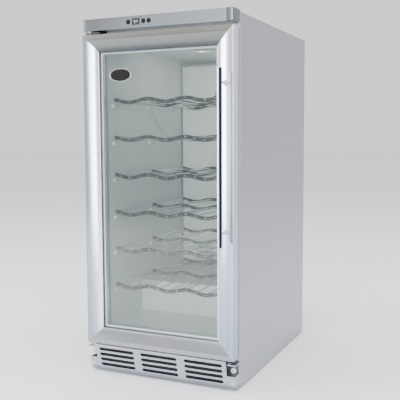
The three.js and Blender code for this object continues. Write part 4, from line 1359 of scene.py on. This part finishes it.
# --------------------------------------------------------------------------------------
# Door
# --------------------------------------------------------------------------------------
@dataclass
class GlazedDoor:
    """The mitred aluminium frame, double glass, seal, handle and badge."""

    flat: float = 12 * MM
    dip: float = 8 * MM
    lip: float = 3 * MM
    outer_round: float = 1.2 * MM
    mitre_gap: float = 0.12 * MM
    slope_steps: int = 18
    seal_width: float = 16 * MM
    wing_width: float = 11 * MM
    handle_ease: float = 1.6 * MM
    badge_rim: float = 1.3 * MM
    pin_bore_radius: float = 3.65 * MM
    pin_bore_depth: float = 20 * MM
    pinned: dict[str, tuple[str, str]] = field(
        default_factory=lambda: {"lower": ("bottom", "left"), "upper": ("top", "left")}
    )

    def build(self) -> None:
        """Makes every piece that swings."""
        self.frame_lengths()
        self.seal()
        self.handle()
        self.badge()
        self.glazing()

    def outline(self) -> tuple[Span, float]:
        """Returns the door's box and the frame's width."""
        box = Span.of("door_rail_top", "door_rail_bottom", "door_stile_left", "door_stile_right")
        return box, Span.of("door_rail_bottom").size.z

    def frame_lengths(self) -> None:
        """Makes the four mitred lengths with a smooth hollow slope and light and shade painted into their
        colours.
        """
        box, width = self.outline()
        depth = box.size.y
        start = self.flat + 1.6 * MM
        slope = []
        for i in range(self.slope_steps + 1):
            t = i / self.slope_steps
            slope.append((start + t * (width - 0.8 * MM - start), self.dip * (1 - (1 - t) ** 1.7)))
        rebate = width - 15 * MM
        seat = self.dip + self.lip
        round_ = self.outer_round
        section = [
            *arc((round_, round_), round_, 180, 270, 5),
            *arc((self.flat - 0.4 * MM, 0.4 * MM), 0.4 * MM, 270, 350, 3),
            (self.flat + 0.1 * MM, 1.1 * MM), (start - 0.5 * MM, 1.1 * MM),
            (start - 0.35 * MM, 0.15 * MM), *slope,
            *arc((width - 0.8 * MM, self.dip + 0.8 * MM), 0.8 * MM, 270, 360, 4),
            (width, seat), (rebate, seat), (rebate, depth),
            *arc((0.8 * MM, depth - 0.8 * MM), 0.8 * MM, 90, 180, 4),
        ]
        # Top rail: painted reflection, warm above and dark below.
        warm, cool = (0.26, 0.264, 0.232), (0.1, 0.113, 0.13)
        top_rail_painted_reflection = GradedMetal(
            "top_rail_aluminium", "frame_aluminium", warm, Grain.ACROSS, 0.28, 0.05, 0.05, 0.00002, 0.0,
            2, box.hi.z, box.hi.z - width, ((0.0, warm), (0.4, (0.2, 0.205, 0.195)), (1.0, cool)),
        )
        # Right stile: painted reflection, blue low and pale high.
        pale, blue = (0.74, 0.77, 0.84), (0.36, 0.43, 0.55)
        right_stile_painted_reflection = GradedMetal(
            "stile_aluminium", "frame_aluminium", pale, Grain.UPRIGHT, 0.2, 0.03, 0.03, 0.000006, 0.0,
            2, box.lo.z, box.hi.z, ((0.0, blue), (0.35, (0.48, 0.54, 0.65)), (0.62, pale)),
        )
        # Left stile: painted shade at its outer edge, painted highlight at its inner edge.
        shade, mid, bright = (0.26, 0.29, 0.34), (0.42, 0.46, 0.53), (0.88, 0.9, 0.94)
        left_stile_painted_light = GradedMetal(
            "left_stile_aluminium", "frame_aluminium", mid, Grain.UPRIGHT, 0.2, 0.03, 0.03, 0.000006, 0.0,
            0, box.lo.x, box.lo.x + width, ((0.0, shade), (0.3, mid), (0.55, mid), (0.85, bright)),
        )
        lengths = {
            "bottom": ("rail_bottom", LOW_RAIL_PAINTED_REFLECTION), "top": ("rail_top", top_rail_painted_reflection),
            "left": ("stile_left", left_stile_painted_light), "right": ("stile_right", right_stile_painted_reflection),
        }
        for place, (name, finish) in lengths.items():
            form = Form()
            form.mitred(section, box.hi.x, box.lo.z, box.hi.z, box.lo.y, self.mitre_gap, [place])
            for level, foot in (("lower", box.lo.z - MM), ("upper", box.hi.z - self.pin_bore_depth)):
                pin = Span.of("hinge_pin_" + level)
                if place in self.pinned[level]:
                    form.bore((pin.mid.x, pin.mid.y, foot), self.pin_bore_radius, self.pin_bore_depth + MM)
            form.piece("frame_" + name, finish, "door", ["door_" + name])

    def seal(self) -> None:
        """Makes the magnetic seal with its folded bellows."""
        box, _ = self.outline()
        seal = Span.of("door_gasket")
        inset = seal.lo.x - box.lo.x
        wide = self.seal_width
        back, front = seal.hi.y - box.lo.y, seal.lo.y - box.lo.y
        deep = back - front
        section = [
            (inset + 2 * MM, front), (inset + wide - 2 * MM, front),
            *arc((inset + wide - 2.4 * MM, front + deep * 0.2), deep * 0.16, -90, 60, 5),
            (inset + wide - 4.2 * MM, front + deep * 0.42),
            *arc((inset + wide - 1.6 * MM, front + deep * 0.62), 1.2 * MM, -90, 60, 5),
            *arc((inset + wide - 2.2 * MM, back - 1.5 * MM), 1.5 * MM, 0, 90, 5),
            *arc((inset + 2.2 * MM, back - 1.5 * MM), 1.5 * MM, 90, 180, 5),
            *arc((inset + 1.6 * MM, front + deep * 0.62), 1.2 * MM, 120, 270, 5),
            (inset + 4.2 * MM, front + deep * 0.42),
            *arc((inset + 2.4 * MM, front + deep * 0.2), deep * 0.16, 120, 270, 5),
        ]
        wing = inset - self.wing_width
        lip = [
            (inset + 2.5 * MM, front + 0.2 * MM), (inset + 2.5 * MM, front + 2 * MM),
            (wing + 3 * MM, front + deep * 0.55),
            *arc((wing + 1 * MM, front + deep * 0.6), 1 * MM, 60, 240, 5),
            (wing + 3 * MM, front + 0.2 * MM),
        ]
        form = Form()
        for outline in (section, lip):
            form.mitred(outline, box.hi.x, box.lo.z, box.hi.z, box.lo.y)
        form.piece("door_seal", SEAL, "door", ["door_gasket"])

    def handle(self) -> None:
        """Makes the bar and its two flared posts."""
        bar = Span.of("handle_bar")
        radius = bar.size.x / 2
        form = Form()
        form.rod((bar.mid.x, bar.mid.y, bar.lo.z), Axis.UP, bar.size.z, radius, 48, self.handle_ease)
        form.piece("handle_rod", self.bar_finish(bar), "door", ["handle_bar"])
        face = Span.of("door_stile_right").lo.y
        for end in ("lower", "upper"):
            node = "handle_standoff_" + end
            post = Span.of(node)
            size = post.size.x / 2
            reach = face - bar.mid.y
            sink = post.hi.y - face
            flare = [(size + 2.2 * MM * (1 - math.sin(t * math.pi / 2)),
                      reach - 3.2 * MM + 2.6 * MM * (1 - math.cos(t * math.pi / 2)))
                     for t in (1, 0.75, 0.5, 0.25, 0)]
            profile = [
                (0, radius * 0.4), (size * 0.98, radius * 0.4), *[(r, h) for r, h in flare],
                (size + 2.2 * MM, reach - 0.05 * MM), (size, reach - 0.05 * MM), (size, reach + sink),
                (0, reach + sink),
            ]
            stand = Form()
            stand.turned(profile, (post.mid.x, bar.mid.y, post.mid.z), Axis.BACK, 32)
            stand.piece(node + "_post", CHROME, "door", [node])

    @staticmethod
    def bar_finish(bar: Span) -> Finish:
        """Returns the bar's chrome with a painted reflection, pale on its left and deep blue on its right.

        Args:
            bar: The bar's box.

        Returns:
            The chrome with its painted reflection.
        """
        # Pale left and deep blue right: painted reflection.
        pale, deep = (0.86, 0.88, 0.94), (0.009, 0.01, 0.022)
        stops = ((0.0, pale), (0.44, pale), (0.58, deep), (0.9, deep), (1.0, (0.3, 0.32, 0.4)))
        return GradedMetal("handle_mirror", "handle_chrome", pale, Grain.UPRIGHT, 0.12, 0.02, 0.03,
            0.000004, 0.0,
                           0, bar.lo.x, bar.hi.x, stops)

    def badge(self) -> None:
        """Makes the blank oval plaque and its bright rim."""
        box = Span.of("badge_plate")
        half_w, half_h = box.size.x / 2, box.size.z / 2

        def oval(shrink: float) -> list[Point2]:
            """Returns the plaque's outline, drawn in by a margin."""
            return [(box.mid.x + (half_w - shrink) * x, box.mid.z + (half_h - shrink) * z)
                    for x, z in arc((0, 0), 1, 0, 354, 59)]

        plaque = Form()
        verts = plaque.plate(oval(self.badge_rim * 0.6), Axis.BACK, box.lo.y + 0.35 * MM,
            box.size.y - 0.35 * MM)
        plaque.bevel(0.5 * MM, 3, verts)
        plaque.piece("badge_plaque", BADGE_FINISH, "door", ["badge_plate"])
        rim = Form()
        outer = [rim.mesh.verts.new((x, box.lo.y, z)) for x, z in oval(0)]
        inside = [rim.mesh.verts.new((x, box.lo.y, z)) for x, z in oval(self.badge_rim)]
        loops = [
            rim.mesh.edges.new(pair) for loop in (outer, inside) for pair in zip(loop, loop[1:] + loop[:1])
        ]
        bmesh.ops.bridge_loops(rim.mesh, edges=loops)
        bmesh.ops.solidify(rim.mesh, geom=rim.mesh.faces[:], thickness=box.size.y)
        bmesh.ops.recalc_face_normals(rim.mesh, faces=rim.mesh.faces[:])
        low = min(vert.co.y for vert in rim.mesh.verts)
        bmesh.ops.translate(rim.mesh, verts=rim.mesh.verts[:], vec=(0, box.lo.y - low, 0))
        rim.bevel(0.35 * MM, 3)
        rim.piece("badge_rim", CHROME, "door")

    def glazing(self) -> None:
        """Makes the panes with polished edges and the spacer between them, with painted shade on the
        spacer's top and bottom runs.
        """
        for node in ("glass_outer", "glass_inner"):
            refine(node, PANE, "door", 0.5 * MM, 2)
        spacer = Span.of("glass_spacer")
        # The spacer's top and bottom runs are painted dark: painted shade.
        dim = (0.2, 0.22, 0.22)
        finish = GradedMetal(
            "spacer_aluminium", "spacer_aluminium", SPACER_METAL.colour, Grain.NONE, 0.3, 0.05, 0.05,
            0.00001, 0.0,
            2, spacer.lo.z, spacer.hi.z, ((0.0, dim), (0.012, SPACER_METAL.colour),
                (0.984, SPACER_METAL.colour), (0.988, dim)),
        )
        refine("glass_spacer", finish, "door", 0.4 * MM, 2)


# --------------------------------------------------------------------------------------
# Chamber
# --------------------------------------------------------------------------------------
@dataclass
class Shelves:
    """Six sliding shelves: wavy bands across, wires from front to back."""

    count: int = 6
    bottles: int = 3
    wave: float = 8 * MM
    band: float = 9 * MM
    band_depth: float = 2.4 * MM
    wire: float = 3.2 * MM
    wire_sink: float = 2.5 * MM
    trim: float = 2.6 * MM
    steps: int = 96

    def build(self) -> None:
        """Makes every shelf and the clips that it runs in."""
        for number in range(1, self.count + 1):
            self.shelf(f"shelf_{number}")
        self.clips()

    def rise(self, x: float, pitch: float) -> float:
        """Returns the wave's height across the shelf: low under a bottle, high between bottles."""
        return self.wave / 2 * (1 - math.cos(FULL_TURN * x / pitch))

    def shelf(self, node: str) -> None:
        """Makes one shelf.

        Args:
            node: The shelf's CAD node.
        """
        box = Span.of(node)
        half = box.size.x / 2
        pitch = 2 * (half + 8 * MM) / self.bottles
        datum = box.hi.z - max(self.rise(half * (2 * i / 18 - 1), pitch) for i in range(19))
        xs = [half * (2 * i / self.steps - 1) for i in range(self.steps + 1)]
        bands = Form()
        for y in (box.lo.y + self.trim * 0.7, box.mid.y - self.band_depth / 2, box.hi.y - self.band_depth):
            top = [(x, datum + self.rise(x, pitch)) for x in xs]
            bottom = [(x, z - self.band) for x, z in reversed(top)]
            verts = bands.plate(bottom[::-1] + top[::-1], Axis.BACK, y, self.band_depth)
            bands.bevel(0.5 * MM, 2, verts)
        # The bands and the front wire are painted near black: painted shade.
        bands.piece(node + "_bands", BAND_PAINTED_SHADE, node, [node])
        wires = Form()
        edge = half - self.wire / 2 - 0.4 * MM
        runs = [-edge, *[i * pitch / 4 for i in range(-5, 6)], edge]
        for x in runs:
            z = datum + self.rise(x, pitch) - self.wire_sink - self.wire / 2
            wires.rod((x, box.lo.y + 0.6 * MM, z), Axis.BACK, box.size.y - 1.2 * MM, self.wire / 2, 10)
        wires.piece(node + "_wires", WIRE_METAL, node)
        trim = [(x, box.lo.y + self.trim / 2, datum + self.rise(x, pitch) - self.trim / 2) for x in xs[::3]]
        tube(node + "_front_wire", trim, self.trim / 2, BAND_PAINTED_SHADE, node, 3)

    def clips(self) -> None:
        """Makes the round shelf supports on the chamber's side walls."""
        wall = Span.of("shelf_1").hi.x + 8 * MM
        form = Form()
        for number in range(1, self.count + 1):
            box = Span.of(f"shelf_{number}")
            for side in Side:
                for y in (box.lo.y + 10 * MM, box.mid.y, box.hi.y - 12 * MM):
                    z = box.lo.z + 1.5 * MM
                    axis = Axis.RIGHT if side is Side.LEFT else Axis.LEFT
                    form.turned(
                        [(0, 0), (6.5 * MM, 0), (6.5 * MM, 1.2 * MM), (5.2 * MM, 2 * MM),
                            (4.6 * MM, 5.8 * MM),
                         *arc((3.8 * MM, 6.4 * MM), 0.8 * MM, 0, 90, 3), (0, 7.2 * MM)],
                        (side.value * (wall - 0.05 * MM), y, z - 5 * MM), axis, 24,
                    )
        form.piece("shelf_clips", CREAM, "cabinet")


@dataclass
class Chamber:
    """The white liner, its lamp, air duct and grille; the fan is built on its own."""

    strip_inset: float = 37.5 * MM
    strip_width: float = 5.5 * MM
    grille_rings: int = 6
    grille_wire: float = 0.9 * MM

    def build(self) -> None:
        """Makes the liner, lamp, duct and grille."""
        refine("inner_liner", LINER, "cabinet", 0.7 * MM, 3)
        self.breaker_strip()
        refine("lamp_housing", LINER, "cabinet", 1.2 * MM, 3)
        refine("lamp_lens", DIFFUSER, "cabinet", 0.6 * MM, 3)
        refine("evaporator_cover", LINER, "cabinet", 0.9 * MM, 3)
        self.grille()

    def breaker_strip(self) -> None:
        """Makes the pale trim round the chamber's mouth, just behind the inner pane."""
        door = Span.of("door_rail_top", "door_rail_bottom")
        pane, flange = Span.of("glass_inner").hi.y, Span.of("inner_liner").lo.y
        start, stop = pane + 1.2 * MM - door.lo.y, flange - door.lo.y
        inner, ease = self.strip_inset + self.strip_width, 1 * MM
        section = [
            (self.strip_inset, start + ease),
            *arc((self.strip_inset + ease, start + ease), ease, 180, 270, 4)[1:],
            *arc((inner - ease, start + ease), ease, 270, 360, 4), (inner, stop), (self.strip_inset, stop),
        ]
        form = Form()
        form.mitred(section, door.hi.x, door.lo.z, door.hi.z, door.lo.y)
        form.piece("breaker_strip", TRIM, "cabinet")

    def grille(self) -> None:
        """Makes the ringed guard over the chamber fan's outlet."""
        fan = Span.of("evaporator_fan_blades")
        face = Span.of("evaporator_cover").lo.y
        radius = fan.size.x / 2 + 3 * MM
        at = Vector((fan.mid.x, face - self.grille_wire, fan.mid.z))
        form = Form()
        for i in range(1, self.grille_rings + 1):
            form.ring(at, Axis.FRONT, radius * i / self.grille_rings, self.grille_wire, 48)
        form.turned([(0, -1 * MM), (5 * MM, -1 * MM), (5 * MM, 0.6 * MM), (3 * MM, 1.4 * MM),
            (0, 1.4 * MM)], at,
                    Axis.FRONT, 24)
        spoke = Form()
        spoke.rod((0, 0, 3 * MM), Axis.UP, radius - 3 * MM, self.grille_wire, 8)
        for i in range(8):
            form.join(
                spoke,
                Matrix.Translation(at + Vector((0, 0.3 * MM, 0)))
                @ Matrix.Rotation(i * FULL_TURN / 8, 4, "Y"),
            )
        form.piece("fan_guard", CREAM, "cabinet")

    def dress(self) -> None:
        """Finishes the coil behind the duct."""
        dress(FIN_METAL, "evaporator")


@dataclass
class Fan:
    """A box fan: its square frame and turned rotor with curved blades."""

    frame_node: str
    blade_node: str
    blades: int = 5
    pitch_root: float = math.radians(48)
    pitch_tip: float = math.radians(27)

    def build(self) -> None:
        """Makes the frame's eased copy and the rotor."""
        refine(self.frame_node, FAN_PLASTIC, "cabinet", 0.6 * MM, 2)
        box = Span.of(self.blade_node)
        radius, hub = box.size.x / 2, box.size.x / 2 * 0.36
        depth = box.size.y
        at = Vector((box.mid.x, box.lo.y, box.mid.z))
        form = Form()
        ease = 2.5 * MM
        form.turned(
            [(0, 0), *arc((hub - ease, ease), ease, -90, 0, 4), (hub, depth), (hub - 1.5 * MM, depth),
                (0, depth - 1 * MM)],
            at, Axis.BACK, 32,
        )
        blade = self.blade(hub, radius, depth)
        for i in range(self.blades):
            form.join(blade, Matrix.Translation(at) @ Matrix.Rotation(i * FULL_TURN / self.blades, 4, "Y"))
        form.piece(self.blade_node + "_rotor", FAN_PLASTIC, self.blade_node, [self.blade_node])

    def blade(self, hub: float, radius: float, depth: float) -> Form:
        """Returns one twisted blade, standing on the hub at the top.

        Args:
            hub: The hub's radius.
            radius: The rotor's radius.
            depth: The rotor's depth.

        Returns:
            The blade's form.
        """
        form = Form()
        bmesh.ops.create_grid(form.mesh, x_segments=8, y_segments=8, size=0.5)
        for vert in form.mesh.verts:
            along, across = vert.co.y + 0.5, vert.co.x
            reach = hub * 0.95 + (radius - hub * 0.95) * along
            tilt = self.pitch_root + (self.pitch_tip - self.pitch_root) * along
            chord = depth * (0.95 + 0.35 * along)
            turn = across * chord * math.cos(tilt) / reach + 0.12 * along * along
            camber = 1.6 * MM * (1 - 4 * across * across)
            y = depth * 0.5 + max(-0.46, min(0.46, across * math.sin(tilt) * 1.05)) * depth + camber * 0.3
            vert.co = (reach * math.sin(turn), y, reach * math.cos(turn))
        bmesh.ops.solidify(form.mesh, geom=form.mesh.faces[:], thickness=1.3 * MM)
        bmesh.ops.recalc_face_normals(form.mesh, faces=form.mesh.faces[:])
        return form


# --------------------------------------------------------------------------------------
# Machine space and feet
# --------------------------------------------------------------------------------------
@dataclass
class MachineSpace:
    """The compressor, coils, tray and pipes behind the service cover."""

    pipe: float = 3 * MM
    can_radius: float = 68 * MM
    lid_height: float = 54 * MM
    plate_half_depth: float = 60 * MM

    def build(self) -> None:
        """Makes the compressor and the pipes between the parts."""
        self.compressor()
        refine("start_relay_cover", TRAY_PLASTIC, "cabinet", 2 * MM, 3)
        refine("power_inlet", TRAY_PLASTIC, "cabinet", 0.35 * MM, 2)
        refine("drip_tray", TRAY_PLASTIC, "cabinet", 0.5 * MM, 2)
        drier = Form.copy_of("filter_drier").bevel(0.8 * MM, 2)
        drier.piece("filter_drier_piece", COPPER, "cabinet", ["filter_drier"])
        self.pipes()

    def compressor(self) -> None:
        """Makes the domed can with its weld seam and sprung base plate."""
        box = Span.of("compressor")
        at = (box.mid.x, box.mid.y, box.lo.z + 5 * MM)
        seam, lid = self.can_radius - 2 * MM, self.lid_height
        top = box.size.z - 5 * MM
        dome = [(x * seam, lid + 2 * MM + y * (top - lid - 2 * MM)) for x, y in arc((0, 0), 1, 0, 90, 12)]
        profile = [
            (0, 0), (seam * 0.7, 0),
            *[(seam * (0.7 + 0.3 * x), 24 * MM + 24 * MM * y) for x, y in arc((0, 0), 1, -90, 0, 8)],
            (seam, lid - 2 * MM), *arc((seam, lid), 2 * MM, -90, 90, 6), *dome,
        ]
        form = Form()
        form.turned(profile, at, Axis.UP, 56)
        half_x, half_y = box.size.x / 2, self.plate_half_depth
        plate = form.block(
            (box.mid.x - half_x, box.mid.y - half_y, box.lo.z),
            (box.mid.x + half_x, box.mid.y + half_y, box.lo.z + 3 * MM),
        )
        form.bevel(1 * MM, 2, plate)
        form.piece("compressor_can", ENAMEL, "cabinet", ["compressor"])
        feet = Form()
        grommet = [
            (0, 0), (8 * MM, 0), (8 * MM, 1 * MM), (6 * MM, 2 * MM),
            (6 * MM, 4 * MM), (8 * MM, 5 * MM), (8 * MM, 6 * MM), (0, 6 * MM),
        ]
        for x in (-1, 1):
            for y in (-1, 1):
                corner = (
                    box.mid.x + x * (half_x - 10 * MM), box.mid.y + y * (half_y - 10 * MM), box.lo.z + 3 * MM
                )
                feet.turned(grommet, corner, Axis.UP, 20)
        feet.piece("compressor_grommets", FOOT_RUBBER, "cabinet")

    def pipes(self) -> None:
        """Makes the copper pipes from compressor to condenser, drier and coil."""
        can, coil, drier = Span.of("compressor"), Span.of("condenser"), Span.of("filter_drier")
        left = can.mid.x - 50 * MM
        high = can.hi.z - 30 * MM
        tube("discharge_pipe", [
            (can.mid.x - 40 * MM, can.mid.y - 30 * MM, high),
            (left - 6 * MM, can.mid.y - 46 * MM, high + 8 * MM),
            (left - 30 * MM, can.mid.y - 66 * MM, high), (coil.hi.x + 12 * MM, coil.mid.y, high - 8 * MM),
            (coil.hi.x + 4 * MM, coil.mid.y, coil.hi.z - 14 * MM),
            (coil.hi.x - 3 * MM, coil.mid.y, coil.hi.z - 14 * MM),
        ], self.pipe, COPPER, "cabinet")
        tube("drier_pipe", [
            (drier.mid.x, drier.mid.y, drier.hi.z - 1 * MM),
            (drier.mid.x, drier.mid.y, drier.hi.z + 12 * MM),
            (drier.mid.x - 4 * MM, drier.mid.y - 20 * MM, drier.hi.z + 18 * MM),
            (drier.mid.x - 6 * MM, drier.mid.y - 60 * MM, drier.hi.z + 8 * MM),
            (coil.hi.x + 6 * MM, coil.hi.y + 8 * MM, drier.hi.z - 20 * MM),
            (coil.hi.x + 2 * MM, coil.hi.y - 6 * MM, drier.hi.z - 26 * MM),
        ], self.pipe * 0.7, COPPER, "cabinet")

    def dress(self) -> None:
        """Finishes the condenser."""
        dress(FIN_METAL, "condenser")


@dataclass
class Foot:
    """One levelling foot: a rubber pad and its threaded stem."""

    node: str
    pad_height: float = 9 * MM
    thread_pitch: float = 1.6 * MM
    thread_depth: float = 0.55 * MM
    ribs: int = 24

    def build(self) -> None:
        """Makes the pad and stem as one turned piece each."""
        box = Span.of(self.node)
        radius = box.size.x / 2
        at = (box.mid.x, box.mid.y, box.lo.z)
        pad = Form()
        pad.turned([
            (0, 0), (radius - 2.5 * MM, 0), *arc((radius - 1.2 * MM, 1.2 * MM), 1.2 * MM, -90, 0, 4),
            (radius, self.pad_height - 3.4 * MM), (radius - 0.6 * MM, self.pad_height - 2.8 * MM),
            (radius - 3.6 * MM, self.pad_height - 0.4 * MM), (radius - 5 * MM, self.pad_height),
            (0, self.pad_height),
        ], at, Axis.UP, 48)
        pad.piece(self.node + "_pad", FOOT_RUBBER, self.node, [self.node])
        stem = Form()
        outer = 4 * MM
        height = box.size.z
        turns = int((height - self.pad_height - 1 * MM) / self.thread_pitch)
        profile = [(0, self.pad_height - 0.5 * MM), (outer, self.pad_height - 0.5 * MM)]
        for i in range(turns):
            low = self.pad_height + i * self.thread_pitch
            profile += [(outer, low + 0.3 * self.thread_pitch),
                (outer - self.thread_depth, low + 0.65 * self.thread_pitch),
                        (outer, low + self.thread_pitch)]
        profile += [(outer - 0.8 * MM, height), (0, height)]
        stem.turned(profile, at, Axis.UP, 20)
        stem.piece(self.node + "_stem", PIN_METAL, self.node)


# --------------------------------------------------------------------------------------
# Studio
# --------------------------------------------------------------------------------------
@dataclass
class Studio:
    """The camera, pale floor and soft lights."""

    place: tuple[float, float, float] = (0.75574, -1.668375, 0.5841)
    yaw: float = 24.5
    pitch: float = -5.22
    roll: float = -0.27
    lens: float = 61.8
    sensor: float = 36.0
    sky: Colour = (0.965, 0.975, 1.0)
    sky_strength: float = 1.25

    def camera(self) -> None:
        """Makes the camera and sets it as the scene's own."""
        yaw, pitch, roll = (math.radians(angle) for angle in (self.yaw, self.pitch, self.roll))
        ahead = Vector((-math.sin(yaw) * math.cos(pitch), math.cos(yaw) * math.cos(pitch), math.sin(pitch)))
        right = ahead.cross(Vector((0, 0, 1))).normalized()
        up = right.cross(ahead)
        turned_right = right * math.cos(roll) + up * math.sin(roll)
        turned_up = up * math.cos(roll) - right * math.sin(roll)
        data = bpy.data.cameras.new("view")
        data.sensor_fit, data.sensor_width, data.lens = "HORIZONTAL", self.sensor, self.lens
        data.clip_start, data.clip_end = 0.05, 60
        view = bpy.data.objects.new("view", data)
        facing = Matrix((turned_right, turned_up, -ahead)).transposed().to_4x4()
        view.matrix_world = Matrix.Translation(self.place) @ facing
        bpy.context.scene.collection.objects.link(view)
        bpy.context.scene.camera = view

    def area(self, name: str, at: Sequence[float], look: Sequence[float], size: Point2, watts: float,
             colour: Colour = (1.0, 1.0, 1.0)) -> None:
        """Adds a soft rectangular light.

        Args:
            name: Its name.
            at: Where it stands.
            look: What it points at.
            size: Its width and height.
            watts: Its power.
            colour: Its colour.
        """
        data = bpy.data.lights.new(name, "AREA")
        data.shape, data.size, data.size_y = "RECTANGLE", *size
        data.energy, data.color = watts, colour
        lamp = bpy.data.objects.new(name, data)
        lamp.location = at
        lamp.rotation_euler = (Vector(look) - Vector(at)).to_track_quat("-Z", "Y").to_euler()
        bpy.context.scene.collection.objects.link(lamp)

    def surroundings(self) -> None:
        """Makes plain soft surroundings."""
        world = bpy.data.worlds.new("surroundings")
        world.use_nodes = True
        sky = Nodes(world.node_tree)
        glow = sky.node("ShaderNodeBackground", {}, {"Color": self.sky, "Strength": self.sky_strength})
        sky.node("ShaderNodeOutputWorld", {}, {"Surface": glow.outputs[0]})
        bpy.context.scene.world = world

    def build(self) -> None:
        """Makes the floor, the surroundings and the lights."""
        floor = Form()
        verts = floor.block((-40, -40, -0.02), (40, 40, -0.0004))
        shader = Shader("studio_floor")
        grain = shader.noise((30.0, 30.0, 30.0), 3.0)
        shader.set(Base_Color=shader.ramp(grain, (0.3, (0.93, 0.93, 0.93)), (0.7, (0.96, 0.96, 0.96))))
        shader.set(Roughness=(0.85 + grain * 0.1).clamped())
        data = bpy.data.meshes.new("floor")
        floor.mesh.to_mesh(data)
        floor.mesh.free()
        data.materials.append(shader.material)
        ground = bpy.data.objects.new("floor", data)
        bpy.context.scene.collection.objects.link(ground)
        self.surroundings()
        self.area("overhead_light", (0.2, -0.2, 3.4), (0.2, -0.2, 0), (3.2, 3.2), 110)
        self.area("left_window", (-2.55, -1.8, 0.85), (0.1, -0.2, 0.5), (1.25, 1.9), 100, (0.96, 0.98, 1.0))
        self.area("front_window", (0.22, -3.3, 0.85), (0, -0.3, 0.5), (1.05, 2.0), 105, (0.98, 0.99, 1.0))
        self.area("right_strip", (2.7, -1.35, 0.9), (0.2, -0.2, 0.5), (0.5, 2.4), 34, (0.97, 0.98, 1.0))
        lens, wall = Span.of("lamp_lens"), Span.of("evaporator_cover")
        self.area("chamber_lamp", (lens.mid.x, lens.hi.y, lens.lo.z - 6 * MM),
                  (0.03, wall.lo.y, wall.hi.z - 0.09),
                  (lens.size.x * 0.9, 12 * MM), 0.42, (1.0, 1.0, 0.97))


def main() -> None:
    """Builds the studio and every sub-assembly in order."""
    logging.basicConfig(level=logging.INFO, format="%(name)s %(message)s")
    studio = Studio()
    studio.camera()
    studio.build()
    parts = [
        CabinetShell(), ControlStrip(), KickPlate(), Hinges(), GlazedDoor(), Chamber(), Shelves(),
        Fan("evaporator_fan_frame", "evaporator_fan_blades"),
        Fan("condenser_fan_frame", "condenser_fan_blades"),
        MachineSpace(),
        *[Foot(f"foot_{end}_{side.word}") for end in ("front", "rear") for side in Side],
    ]
    for part in parts:
        log.info("%s", type(part).__name__)
        part.build()
        if hasattr(part, "dress"):
            part.dress()


if __name__ == "__main__":
    main()
